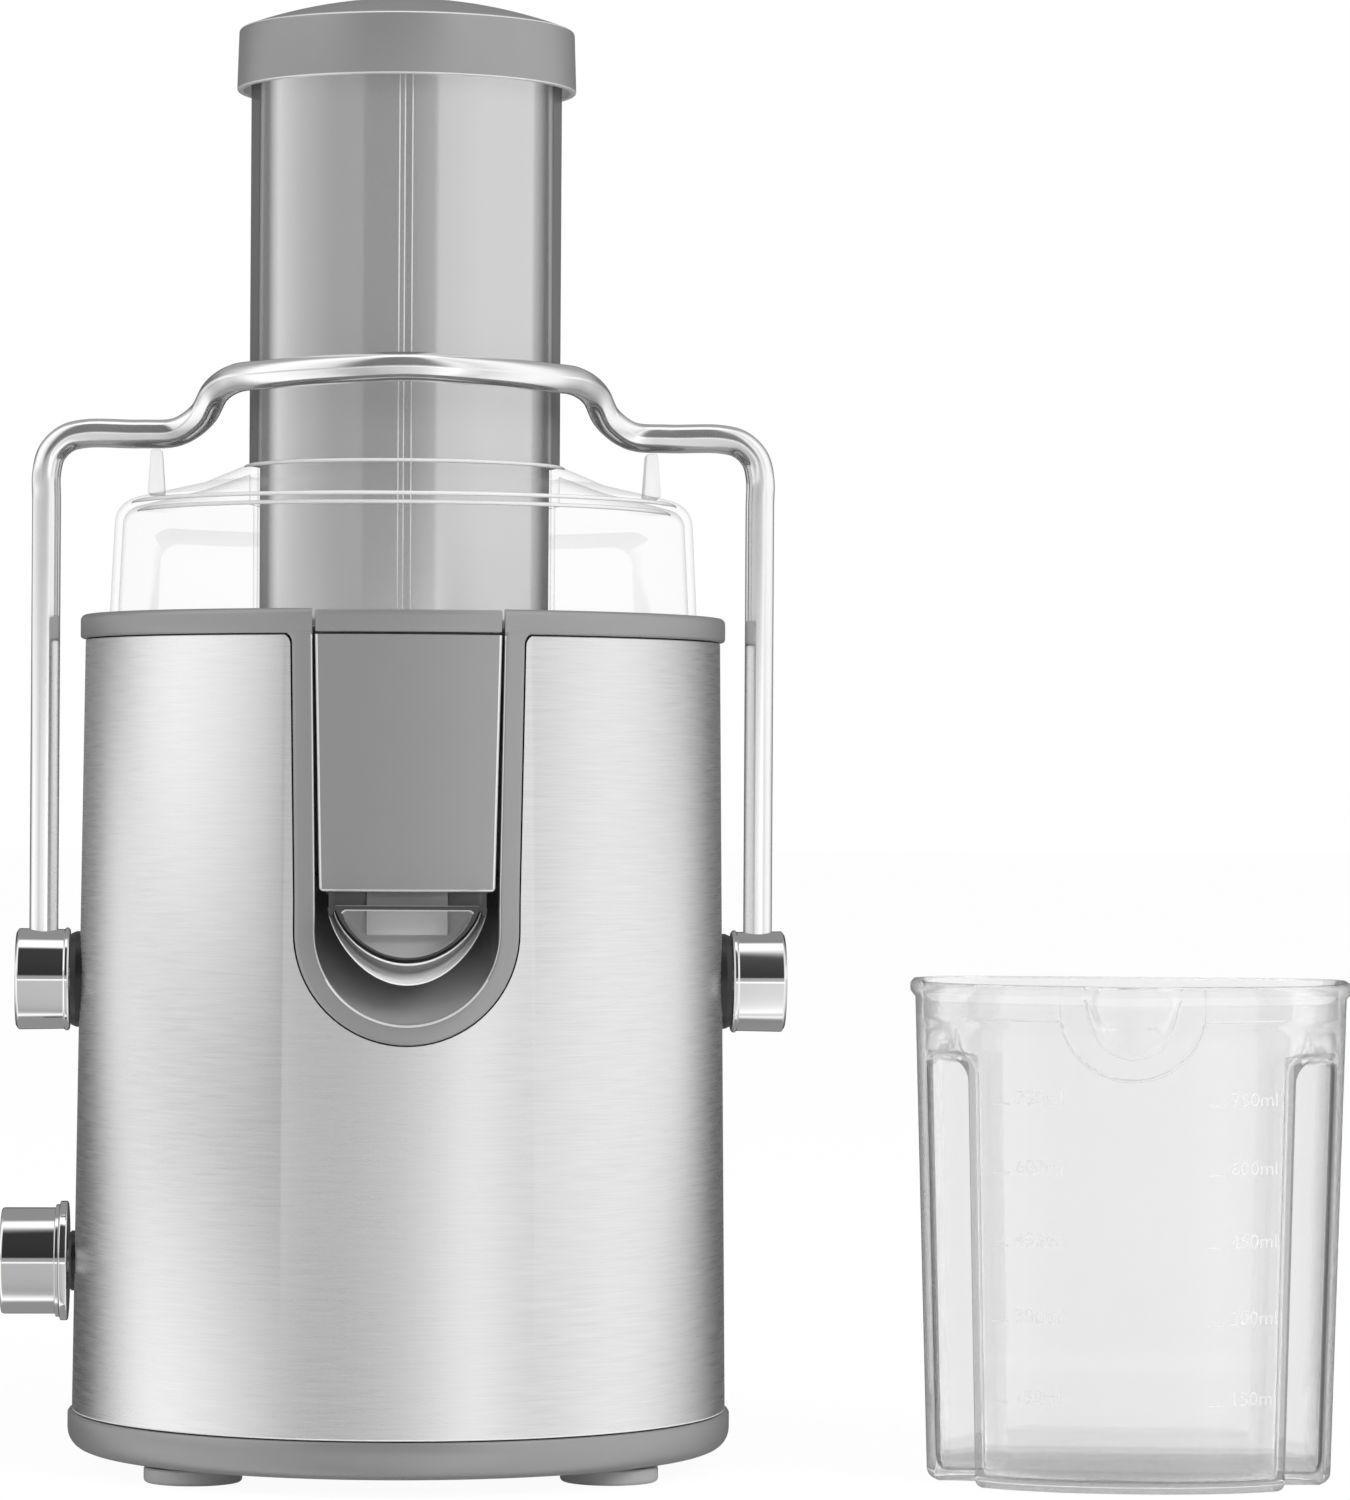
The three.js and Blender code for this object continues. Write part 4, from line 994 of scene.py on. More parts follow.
# --- base
@dataclass
class Base(Assembly):
    """The base plate with its tongue, four feet and four screws."""

    radius: float = 0.085
    bottom: float = 0.0042
    top: float = 0.0137
    floor: float = 0.008
    tongue_half: float = 0.071
    tongue_end: float = 0.172
    tongue_corner: float = 0.044
    foot_radius: float = 0.0123
    foot_height: float = 0.0039
    screw_places: tuple = ((-0.042, -0.061), (0.042, -0.061), (-0.042, 0.061), (0.042, 0.061))
    sides: int = 256

    def outline(self) -> Profile:
        """The plan: round in front, with a tongue behind, and no sharp corner between them."""
        reach: list[float] = []
        core = (self.tongue_half - self.tongue_corner, self.tongue_end - self.tongue_corner)
        for i in range(self.sides):
            a = TURN * i / self.sides
            ray = Vector((cos(a), sin(a)))
            far, step = self.radius, 0.0005
            while ray.y > 0 and self._in_tongue(ray * (far + step), core):
                far += step
            reach.append(far)
        for _ in range(3):
            reach = [(reach[i - 1] + 2 * r + reach[(i + 1) % self.sides]) / 4 for i, r in enumerate(reach)]
        spokes = [TURN * i / self.sides for i in range(self.sides)]
        return [(r * cos(a), r * sin(a)) for r, a in zip(reach, spokes)]

    def _in_tongue(self, point: Vector, core: tuple[float, float]) -> bool:
        """Whether a point of the plan lies in the tongue."""
        dx = max(abs(point.x) - core[0], 0.0)
        dy = max(point.y - core[1], 0.0)
        return hypot(dx, dy) < self.tongue_corner

    def plate(self) -> None:
        """The plate: a rounded lower edge, a small step under its rim, and a dished top."""
        outline = self.outline()
        across, up = 0.0046, 0.0052
        profile = arc(across, self.bottom + up, across, up, -pi / 2, -pi, 7)
        profile += [(0.0, self.top - 0.0006), (0.0003, self.top - 0.0001), (0.0008, self.top)]
        rings = [level(inset(outline, d), z) for d, z in profile]
        plate = Bench.skin("base_shell", rings)
        dish = Bench.drum("dish", 0.079, (self.floor, 0.02), 128)
        wells = []
        wide, narrow, deep = 0.0041, 0.0021, 0.0066
        for x, y in self.screw_places:
            hole = [(0, 0), (wide, 0), (wide, deep), (narrow, deep), (narrow, 0.01), (0, 0.01)]
            wells.append(Bench.shift(Bench.lathe("well", hole, 32), at(x, y, 0)))
        Bench.carve(plate, dish, *wells)
        self.deliver(plate, Slot.GREY, "body", "base_plate")

    def feet(self) -> None:
        """Four soft pads with a rounded tread and a stem up into the plate."""
        r, h = self.foot_radius, self.foot_height
        corners = [
            (0.0, 0.0006), (r * 0.55, 0.0006), (r * 0.62, 0.0), (r, 0.0, 0.0009), (r, h, 0.0007),
            (0.004, h), (0.004, self.floor), (0.0, self.floor),
        ]
        model = Bench.turned("foot_model", corners, 5, 64)
        for side in ("left", "right"):
            for end in ("front", "rear"):
                node = f"foot_{end}_{side}"
                low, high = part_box(node)
                centre = (low + high) / 2 - self.axis
                foot = Bench.copy(model, f"pad_{end}_{side}")
                self.deliver(foot, Slot.FOOT, "body", node, place=at(centre.x, centre.y, 0))
        bpy.data.objects.remove(model)

    def screws(self) -> None:
        """Four pan-head screws with a cross recess, up from below."""
        profile = [(0, 0.0044), (0.003, 0.0044), (0.0036, 0.005), (0.0036, 0.0062)]
        profile += [(0.0017, 0.0062), (0.0017, 0.026), (0, 0.026)]
        model = Bench.lathe("screw_model", profile, 32)
        for turn in (0, 1):
            half = (0.0022, 0.0005) if turn else (0.0005, 0.0022)
            slot = Bench.block("slot", (-half[0], -half[1], 0.003), (half[0], half[1], 0.0055))
            Bench.carve(model, slot)
        for i, (x, y) in enumerate(self.screw_places, start=1):
            screw = Bench.copy(model, f"cross_screw_{i}")
            place = at(x, y, 0)
            self.deliver(screw, Slot.MOTOR_STEEL, "body", f"base_screw_{i}", place=place)
        bpy.data.objects.remove(model)

    def build(self) -> None:
        """Makes the whole base."""
        self.plate()
        self.feet()
        self.screws()


# --- housing
@dataclass
class Housing(Assembly):
    """The brushed sleeve, the bezel with its front trim, the recess and the cord gland."""

    sleeve_wall: float = 0.0008
    trim_proud: float = 0.00125
    recess_back: float = 0.064
    gland_y: float = 0.036
    gland_z: float = 0.026

    def sleeve(self) -> None:
        """The steel sleeve, open round the front trim."""
        wall, edge, hem = self.sleeve_wall, 0.00025, 0.0004
        low, high = BODY.sleeve_bottom, BODY.sleeve_top
        outer_low, outer_high = BODY.sleeve_low_radius, BODY.sleeve_high_radius
        corners = [
            (outer_low - wall, low, edge), (outer_low, low, edge), (BODY.skin_radius(low + hem), low + hem),
            (outer_high, high, edge), (outer_high - wall, high, edge),
        ]
        sleeve = Bench.turned("brushed_sleeve", corners, 2, 288)
        opening = BODY.arch(BODY.trim_outer + 0.0004, BODY.ring_bottom)
        tools = [Bench.prism("opening", opening, -0.11, -0.05)]
        for side in (-1, 1):
            bore = Bench.drum("pin_bore", 0.004, (side * 0.07, side * 0.095), 24, "X")
            tools.append(Bench.shift(bore, at(0, 0, BODY.pivot_height)))
        shaft = Bench.drum("shaft_bore", 0.0045, (-0.095, -0.07), 24, "X")
        tools.append(Bench.shift(shaft, at(0, 0, BODY.knob_height)))
        cord = Bench.drum("cord_bore", 0.0063, (-0.095, -0.06), 32, "X")
        tools.append(Bench.shift(cord, at(0, self.gland_y, self.gland_z)))
        Bench.carve(sleeve, *tools)
        # Painted highlight: the sleeve's rounded lower hem is marked to be drawn white.
        Bench.mark(sleeve, [face.center.z < low + hem for face in sleeve.data.polygons])
        self.deliver(sleeve, Slot.SLEEVE, "body", "steel_sleeve", smooth=30)

    def bezel(self) -> None:
        """The ring on top of the sleeve and the U-shaped trim, as one moulding."""
        r, low, high = BODY.ring_radius, BODY.ring_bottom, BODY.ring_top
        bore = 0.0762
        corners = [(bore, low), (r, low, 0.0008), (r, high, 0.0014), (bore, high, 0.0005)]
        ring = Bench.turned("bezel_and_trim", corners, 5, 288)
        gap, mouth = BODY.tail_half + 0.0006, BODY.trim_inner + BODY.splay(high)
        Bench.carve(
            ring, Bench.block("front_gap", (-mouth, -0.1, 0.2), (mouth, -0.04, 0.23)),
            Bench.block("tail_gap", (-gap, 0.01, low + 0.0018), (gap, 0.1, 0.23)),
        )
        Bench.carve(ring, self.trim(), how="UNION")
        # Painted highlight: the rounding of the trim's inner edge is marked to be drawn in a lighter grey.
        Bench.mark(ring, [self.on_edge(face) for face in ring.data.polygons])
        self.deliver(ring, Slot.GREY, "body", "top_bezel", smooth=32)

    @staticmethod
    def on_edge(face: bpy.types.MeshPolygon) -> bool:
        """Whether a face belongs to the rounding of the trim's inner edge, which gets a painted highlight.
        """
        place, normal = face.center, face.normal
        if Vector((place.x, place.y, 0)).normalized().dot(normal) < 0.25:
            return False
        if place.z > BODY.ring_bottom - 0.0003 or abs(place.x) > BODY.trim_inner + 0.0022:
            return False
        spoke = Vector((place.x, 0, min(place.z - BODY.arch_centre, 0)))
        inner = spoke.length < BODY.trim_inner + 0.0012 + BODY.splay(place.z)
        return inner and 0.3 < abs(spoke.normalized().dot(normal)) < 0.97

    def trim(self) -> Piece:
        """The trim: a rounded bar that follows the U of the opening and the sleeve's curve."""
        inner, outer, proud = BODY.trim_inner, BODY.trim_outer, self.trim_proud
        flare, top = BODY.flare, BODY.ring_bottom + 0.0004
        width = outer - inner
        section = filleted([(0, -0.003), (0, proud, 0.0009), (width, proud, 0.0008), (width, -0.0006)], 5)
        heights = [top + 0.003, top + 0.0006]
        heights += [top - flare * (1 - cos(pi / 2 * k / 8)) for k in range(9)]
        heights += [mix(top - flare, BODY.arch_centre, k / 12) for k in range(1, 12)]
        stations = [(pi, z) for z in heights]
        stations += [(pi * (1 + k / 48), None) for k in range(49)]
        stations += [(TURN, z) for z in reversed(heights)]
        rings: list[Ring] = []
        for angle, height in stations:
            across = Vector((cos(angle), sin(angle)))
            base_z = BODY.arch_centre if height is None else height
            grow = 0.0
            if height is not None and height > top - flare:
                rise = min(height, top) - (top - flare)
                grow = flare - sqrt(max(flare**2 - rise**2, 0.0))
            ring: Ring = []
            for a, depth in section:
                reach = inner + a + grow * a / width + BODY.splay(base_z)
                z = base_z + across.y * reach
                ring.append(BODY.on_front(across.x * reach, z, depth))
            rings.append(ring)
        return Bench.skin("trim_bar", rings)

    def recess(self) -> None:
        """The scooped pocket behind the trim, in one smooth sheet."""
        top, front = 0.152, BODY.trim_inner + 0.0003

        def path(u: float) -> tuple[Vector, float]:
            """The direction across the U, and the height of its centre, along its length."""
            legs = 0.2
            if u < legs:
                return Vector((-1, 0)), mix(top, BODY.arch_centre, u / legs)
            if u > 1 - legs:
                return Vector((1, 0)), mix(BODY.arch_centre, top, (u - 1 + legs) / legs)
            a = pi * (1 + (u - legs) / (1 - 2 * legs))
            return Vector((cos(a), sin(a))), BODY.arch_centre

        def place(u: float, v: float) -> Vector:
            """A point of the pocket: v runs from the mouth in to the middle of its back."""
            across, centre = path(u)
            reach = front * (1 - v) ** 0.8
            floor_ = max(-across.y, 0.0)
            deep = sin(pi / 2 * v) ** mix(0.55, 1.35, floor_)
            z = centre + across.y * reach
            x = across.x * reach
            mouth = BODY.on_front(across.x * front, centre + across.y * front, -0.0012)
            return Vector((x, mix(mouth.y, -self.recess_back, deep), z))

        pocket = Bench.sheet("scooped_recess", 96, 40, place)
        Bench.heal(pocket, inside=True)
        Bench.thicken(pocket, 0.0012)
        # Painted shade: the pocket is dark grey, painted lighter towards its bottom and left darker towards
        # its top.
        painted_tones = [ease((0.1475 - vert.co.z) / 0.03) for vert in pocket.data.vertices]
        Bench.mark(pocket, painted_tones, "POINT")
        self.deliver(pocket, Slot.POCKET, "body", "recess_liner", smooth=50)

    def gland(self) -> None:
        """The grommet of the mains cord, with a ribbed collar."""
        profile: Profile = [(0.0038, -0.073), (0.006, -0.073), (0.006, -0.0802)]
        for i in range(3):
            x = -0.0802 - 0.0011 * i
            profile += [(0.0076, x), (0.0076, x - 0.0007), (0.007, x - 0.0009)]
        profile += [(0.0066, -0.0838), (0.0056, -0.0846), (0.0038, -0.0846)]
        gland = Bench.lathe("ribbed_gland", profile, 64, "X")
        place = at(0, self.gland_y, self.gland_z)
        self.deliver(gland, Slot.SEAL, "body", "cord_gland", place=place)

    def build(self) -> None:
        """Makes the whole housing."""
        self.sleeve()
        self.bezel()
        self.recess()
        self.gland()


# --- spout
@dataclass
class Spout(Assembly):
    """The cover over the spout, the nozzle, and the pale lip under it."""

    cover_top: float = 0.2109
    cover_bottom: float = 0.148
    cover_high_half: float = 0.0229
    cover_low_half: float = 0.0215
    cover_proud: float = 0.0009
    nozzle_top: float = 0.1446
    nozzle_half: float = 0.0176
    nozzle_drop: float = 0.0131
    nozzle_front: float = -0.0875
    nozzle_back: float = -0.0765
    droop: float = 1.35
    face: float = 0.0016
    ear_x: float = 0.0187
    lip_half: float = 0.0194
    lip_drop: float = 0.0188

    def cover(self) -> None:
        """The cover: a curved plate with eased edges and round lower corners."""
        corner, round_, share = 0.0011, 0.0006, 0.2
        height = self.cover_top - self.cover_bottom

        def crowded(w: float, near: float) -> float:
            """Steps crowded together before a nearness."""
            return w / share * near if w < share else mix(near, 1, (w - share) / (1 - share))

        def place(u: float, v: float) -> Vector:
            """A point of the cover's outer face, whose sides and foot are rounded over."""
            v = crowded(v, corner / height)
            rise = v * height
            half = mix(self.cover_low_half, self.cover_high_half, v)
            if rise < corner:
                half -= corner - sqrt(corner**2 - (corner - rise) ** 2)
            middle = 1 - crowded(1 - abs(2 * u - 1), round_ / half)
            near = min(half * (1 - middle), rise, round_)
            sink = round_ - sqrt(round_**2 - (round_ - near) ** 2)
            x = copysign(half * middle, u - 0.5)
            return BODY.on_front(x, self.cover_bottom + rise, self.cover_proud - sink)

        cover = Bench.sheet("spout_front_panel", 60, 40, place)
        Bench.thicken(cover, 0.0022, Bench.inwards(cover))
        # Painted highlight: the cover's rounded front edges are marked to be drawn in a lighter grey.
        bright = []
        for panel_face in cover.data.polygons:
            spot = panel_face.center
            rise = spot.z - self.cover_bottom
            half = mix(self.cover_low_half, self.cover_high_half, rise / height)
            edge = min(half - abs(spot.x), rise) < round_
            bright.append(edge and panel_face.normal.y < -0.1)
        Bench.mark(cover, bright)
        self.deliver(cover, Slot.GREY, "body", "spout_cover")

    def moon(self, half: float, drop: float, top: float, round_: float = 0.0) -> Profile:
        """A half oval with lean flanks, which hangs from a level line, with its two corners eased."""
        oval = arc(0, 0, half, -1, pi, TURN, 48)
        points = [(x, top - drop * max(down, 0.0) ** self.droop) for x, down in oval]
        if round_:
            points[0] = (-half + round_, top)
            points[1] = (-half + round_ * 0.35, top - round_ * 0.35)
            points[-1] = (half - round_, top)
            points[-2] = (half - round_ * 0.35, top - round_ * 0.35)
        return points

    def reach(self, across: float, down: float) -> float:
        """How far out a point is, where the half oval of those shares is at 1."""
        return hypot(across, max(down, 0.0) ** (1 / self.droop))

    @staticmethod
    def twins(name: str, across: Sequence, depth: Sequence, height: Sequence) -> list[Piece]:
        """Two blocks, left and right, between two distances from the middle, depths and heights."""
        (inner, outer), (front, back), (low, high) = across, depth, height
        spans = ((-outer, -inner), (inner, outer))
        return [Bench.block(name, (a, front, low), (b, back, high)) for a, b in spans]

    def nozzle(self) -> None:
        """The trough: a half-round mouth, with the duct that comes down behind it, and dark plates above
        the bar that paint the duct's shade.
        """
        top, wall, bar = self.nozzle_top, 0.0011, 0.0012
        front, back = self.nozzle_front, self.nozzle_back
        outline = self.moon(self.nozzle_half, self.nozzle_drop, top)
        inner_half, inner_drop = self.nozzle_half - wall - 0.0005, self.nozzle_drop - wall - 0.0006
        hollow = self.moon(inner_half, inner_drop, top - bar, 0.0011)
        edge = 0.0003
        opening = self.moon(inner_half + edge, inner_drop + 2 * edge, top - bar + edge, 0.0011)
        face = front + self.face

        frame_ = Bench.skin(
            "mouth_frame",
            [
                upright(outline, front), upright(outline, face), upright(hollow, face),
                upright(hollow, front + edge), upright(opening, front),
            ],
            Ends.JOINED,
        )
        ear, depth = self.ear_x, (front + 0.0002, face)
        ears = self.twins("ear", (ear - 0.0005, ear + 0.0005), depth, (top - 0.0022, top + 0.0036))
        arms = self.twins("ear_arm", (ear - 0.0026, ear + 0.0002), depth, (top - bar, top))
        Bench.carve(frame_, *ears, *arms, how="UNION")
        # Painted highlight: the lower front edge of the mouth's top bar is marked to be drawn lighter.
        bright = []
        for frame_face in frame_.data.polygons:
            upper = abs(frame_face.center.z - top + bar) < 2 * edge
            bright.append(upper and frame_face.normal.y < -0.2 and frame_face.normal.z < -0.2)
        Bench.mark(frame_, bright)
        self.deliver(frame_, Slot.DARK, "body", "spout_nozzle")
        tray = Bench.skin(
            "juice_tray",
            [
                upright(outline, back), upright(outline, face + 0.0001), upright(hollow, face + 0.0001),
                upright(hollow, back - 0.0012),
            ],
        )
        half, thick, inside = 0.0099, 0.0012, back - 0.0014
        duct = Bench.block("duct", (-half, -0.0805, 0.1374), (half, back, 0.168))
        Bench.carve(tray, duct, how="UNION")
        low, high = (thick - half, -0.0793, 0.1366), (half - thick, inside, 0.1665)
        bore = Bench.block("bore", low, high)
        entry = Bench.block("entry", (low[0], low[1], 0.148), (high[0], back + 0.002, high[2]))
        Bench.carve(tray, bore, entry)
        Bench.soften(tray, 0.0002, 2, 50)
        self.deliver(tray, Slot.FROST, "body", "spout_nozzle")
        # Painted shade: a dark plate over the duct's face above the bar, and dark flanks beside it, where
        # the cover shades the duct.
        low, high = top - bar / 2, self.cover_bottom + 0.004
        collar = Bench.block("duct_painted_shade_plate", (-half, -0.0811, low), (half, -0.0806, high))
        Bench.soften(collar, 0.0001, 2)
        self.deliver(collar, Slot.PALE, "body", "spout_nozzle")
        flanks = self.twins("duct_painted_shade_flank", (half, self.ear_x), (-0.0803, -0.0798), (low, high))
        sides = Bench.gather("duct_painted_shade_flanks", flanks)
        Bench.soften(sides, 0.0001, 2)
        self.deliver(sides, Slot.POCKET, "body", "spout_nozzle")

    def lip(self) -> None:
        """The pale chin: a shallow scoop between the mouth and a curled outer edge."""
        top = self.nozzle_top - 0.0006
        inner = self.moon(self.nozzle_half + 0.0003, self.nozzle_drop + 0.0003, top)
        outer = self.moon(self.lip_half, self.lip_drop, top)
        scoop = (
            (0.0, -0.085), (0.0, -0.0868), (0.08, -0.087), (0.13, -0.0864), (0.25, -0.0848),
            (0.45, -0.0828), (0.65, -0.0832), (0.82, -0.0848), (0.93, -0.0861), (0.99, -0.0863),
            (1.0, -0.0858), (0.97, -0.084), (0.9, -0.0815), (0.84, -0.079), (0.8, -0.0765), (0.0, -0.0765),
        )
        rings = [
            [Vector((mix(i[0], o[0], share), y, mix(i[1], o[1], share))) for share, y in scoop]
            for i, o in zip(inner, outer)
        ]
        chin = Bench.skin("nozzle_lip", rings)
        Bench.modify(chin, "SUBSURF", subdivision_type="SIMPLE", levels=2, render_levels=2)
        # Painted light and shade: the chin is drawn pale along the mouth and towards its outer edge, and
        # dark in the scoop between.
        painted_tones = []
        for vert in chin.data.vertices:
            x, down = vert.co.x, top - vert.co.z
            near = self.reach(x / (self.nozzle_half + 0.0003), down / (self.nozzle_drop + 0.0003)) - 1
            far = 1 - self.reach(x / self.lip_half, down / self.lip_drop)
            share = near / max(near + far, 1e-6)
            painted_tones.append(max(ease((0.15 - share) / 0.05), ease((share - 0.4) / 0.5)))
        Bench.mark(chin, painted_tones, "POINT")
        self.deliver(chin, Slot.PALE, "body", "spout_lip", smooth=60)

    def build(self) -> None:
        """Makes the whole spout."""
        self.cover()
        self.nozzle()
        self.lip()


# --- lid and pusher
@dataclass
class Lid(Assembly):
    """The clear lid with its tail and chute."""

    low_radius: float = 0.0757
    high_radius: float = 0.0741
    bottom: float = 0.2135
    shoulder: float = 0.2462
    peak: float = 0.256
    ridges: tuple = ((0.07, 0.2461), (0.0685, 0.244), (0.0412, 0.2557))
    wall: float = 0.002
    chute_radius: float = 0.04
    guide_radius: float = 0.0389
    bore: float = 0.0379
    chute_bottom: float = 0.184
    chute_top: float = 0.3555
    tail_end: float = 0.171
    tail_top: float = 0.2435
    tail_corner: float = 0.042
    post_x: float = 0.0637
    post_bottom: float = 0.2484
    post_top: float = 0.2599

    def dome(self, name: str, deep: float) -> Piece:
        """Everything inside the round part's outer skin, less a depth."""
        low = self.bottom - (0.002 if deep else 0.0)
        corners = [
            (0.0, low), (self.low_radius - deep, low),
            (self.high_radius - deep, self.shoulder - deep, 0.0066 - deep),
            (0.052, self.shoulder + 0.0051 - deep, 0.01),
            (self.chute_radius + 0.001 - deep, self.peak - deep, 0.0 if deep else 0.0015),
            (0.0, self.peak - deep + 0.0001),
        ]
        return Bench.turned(name, corners, 10, 192)

    def tail(self, name: str, deep: float) -> Piece:
        """Everything inside the tail's outer skin, less a depth."""
        top = self.tail_top - deep
        round_ = 0.007 - deep / 2
        levels = [(0.0, self.bottom + (-0.0025 if deep else 0.00005))]
        levels += arc(0.0008 + round_, top - round_, round_, round_, pi, pi / 2, 8)
        rings = []
        for shrink, z in levels:
            less = deep + shrink
            half = BODY.tail_half - less
            back = round_back(half, self.tail_end - less, self.tail_corner - less, 16)
            rings.append(level([(-half, half / 5), (half, half / 5), *back], z))
        return Bench.skin(name, rings)

    def build(self) -> None:
        """Makes the lid, its chute and its edges."""
        self.shell()
        self.edges()
        self.posts()

    def shell(self) -> None:
        """The clear lid and the chute on top of it."""
        lid = self.dome("clear_lid", 0.0)
        Bench.carve(lid, self.tail("tail", 0.0), how="UNION")
        hollow = self.dome("hollow", self.wall)
        Bench.carve(hollow, self.tail("tail_hollow", self.wall), how="UNION")
        Bench.carve(lid, hollow)
        r, guide, bore = self.chute_radius, self.guide_radius, self.bore
        neck, joint = self.shoulder, self.peak + 0.0002
        corners = [
            (bore, self.chute_bottom, 0.0005), (guide, self.chute_bottom, 0.0005), (guide, neck), (r, neck),
            (r, joint), (bore, joint),
        ]
        throat = Bench.turned("throat", corners, 4, 160)
        corners = [
            (bore, joint + 0.0001), (r, joint + 0.0001), (r, self.chute_top, 0.0008),
            (bore, self.chute_top, 0.0008),
        ]
        chute = Bench.turned("feed_chute", corners, 4, 160)
        Bench.carve(lid, Bench.drum("core", bore + 0.0005, (0.24, 0.27), 160))
        Bench.carve(lid, throat, how="UNION")
        Bench.seal(lid)
        # The tail's faces are marked, so that their painted edge shade is thinned.
        beyond = self.low_radius + 0.0005
        Bench.mark(lid, [face.center.xy.length > beyond for face in lid.data.polygons])
        self.deliver(lid, Slot.LID, "body", "lid", smooth=38)
        self.deliver(chute, Slot.CHUTE, "body", "lid", smooth=38)

    def edges(self) -> None:
        """Pale ridges round the lid's shoulder and round the foot of the chute, which paint the highlight
        lines of these edges.
        """
        parts = []
        for radius, height in self.ridges:
            route = level(arc(0, 0, radius, radius, pi, TURN, 96), height)
            parts.append(Bench.cord("ridge", route, 0.00052, 8, 0.12))
        ridges = Bench.gather("lid_ridges", parts)
        self.deliver(ridges, Slot.EDGE, "body", "lid", smooth=50)

    def posts(self) -> None:
        """The two tapered posts that the arm comes down on."""
        parts = []
        for side in (-1, 1):
            foot = [(-0.0022, -0.0075), (0.0022, -0.0075), (0.0022, 0.0075), (-0.0022, 0.0075)]
            centre = side * self.post_x
            rings = [
                [Vector((centre + x * k, y * k, z)) for x, y in foot]
                for k, z in ((1.0, self.post_bottom), (0.66, self.post_top))
            ]
            post = Bench.skin("post", rings)
            Bench.soften(post, 0.0006, 3)
            parts.append(post)
        self.deliver(Bench.gather("lid_posts", parts), Slot.POST, "body", "lid", smooth=50)


@dataclass
class Pusher(Assembly):
    """The smoke-coloured pusher tube and its cap."""

    bottom: float = 0.186
    top: float = 0.3599
    high_radius: float = 0.0375
    low_radius: float = 0.0371
    wall: float = 0.0024
    groove_half: float = 0.0008
    beads: tuple = (-0.0023, -0.00095, 0.00095)
    cap_bottom: float = 0.3526
    channel_top: float = 0.3558
    cap_edge: float = 0.3682
    cap_peak: float = 0.3762

    def tube(self) -> None:
        """The tube: closed below, with a keyway down its front."""
        r, low, wall = self.high_radius, self.low_radius, self.wall
        corners = [
            (0.0, self.bottom), (low, self.bottom, 0.002), (low, self.bottom + 0.003),
            (r, self.top - 0.001), (r, self.top, 0.0006), (r - wall, self.top, 0.0006),
            (low - wall, self.bottom + 0.004, 0.002), (0.0, self.bottom + 0.004),
        ]
        tube = Bench.turned("smoke_pusher_tube", corners, 5, 192)
        half, end = self.groove_half, self.top - 0.0042
        outline = [(-half, 0.18), (half, 0.18), *arc(0, end, half, half, 0, pi, 12)]
        Bench.carve(tube, Bench.prism("keyway", outline, -0.045, -0.0359))
        self.deliver(tube, Slot.SMOKE, "pusher", "pusher_tube", smooth=30)

    def keyway_beads(self) -> None:
        """Fine pale beads along the keyway, which paint its highlight lines."""
        cords = []
        for x in self.beads:
            ends = ((self.low_radius, self.bottom + 0.003), (self.high_radius, self.top - 0.0044))
            route = [Vector((x, -sqrt(r**2 - x**2), z)) for r, z in ends]
            cords.append(Bench.cord("bead", route, 0.00018, 8))
        beads = Bench.gather("keyway_beads", cords)
        self.deliver(beads, Slot.EDGE, "pusher", "pusher_tube", smooth=50)

    def cap(self) -> None:
        """The cap: a skirt that narrows upwards, an eased edge and a low dome."""
        edge, peak, skirt, rim = self.cap_edge, self.cap_peak, 0.0437, 0.0432
        plug, channel_in, channel_out, seat = 0.0346, 0.0379, 0.0419, self.top + 0.0003
        crown, steps = rim - 0.0022, 16
        shares = [1 - k / steps for k in range(1, steps + 1)]
        dome = [(crown * share, peak - (peak - edge - 0.0008) * share**2) for share in shares]
        corners = [
            (0.0, 0.3565), (plug, 0.3565), (plug, seat), (channel_in, seat), (channel_in, self.channel_top),
            (channel_out, self.channel_top), (channel_out, self.cap_bottom, 0.0004),
            (skirt, self.cap_bottom, 0.0005), (rim, edge, 0.0011), dome[0],
        ]
        outer = filleted(corners, 7, closed=False)
        cap = Bench.lathe("domed_pusher_cap", [*outer[:-1], *dome], 192)
        # Painted highlight and light: the cap's lower edge and underside, and the rounding of its top edge,
        # are marked to be drawn lighter.
        bright = []
        for face in cap.data.polygons:
            under = face.center.z < self.channel_top + 0.0003 and face.center.xy.length > 0.0376
            lower = under and (face.normal.z < -0.2 or face.center.xy.length < 0.0425)
            upper = face.center.z > edge - 0.0012 and 0.55 < face.normal.z < 0.9
            bright.append(lower or upper)
        Bench.mark(cap, bright)
        self.deliver(cap, Slot.GREY, "pusher", "pusher_cap", smooth=40, mirrored=False)

    def build(self) -> None:
        """Makes the whole pusher."""
        self.tube()
        self.keyway_beads()
        self.cap()


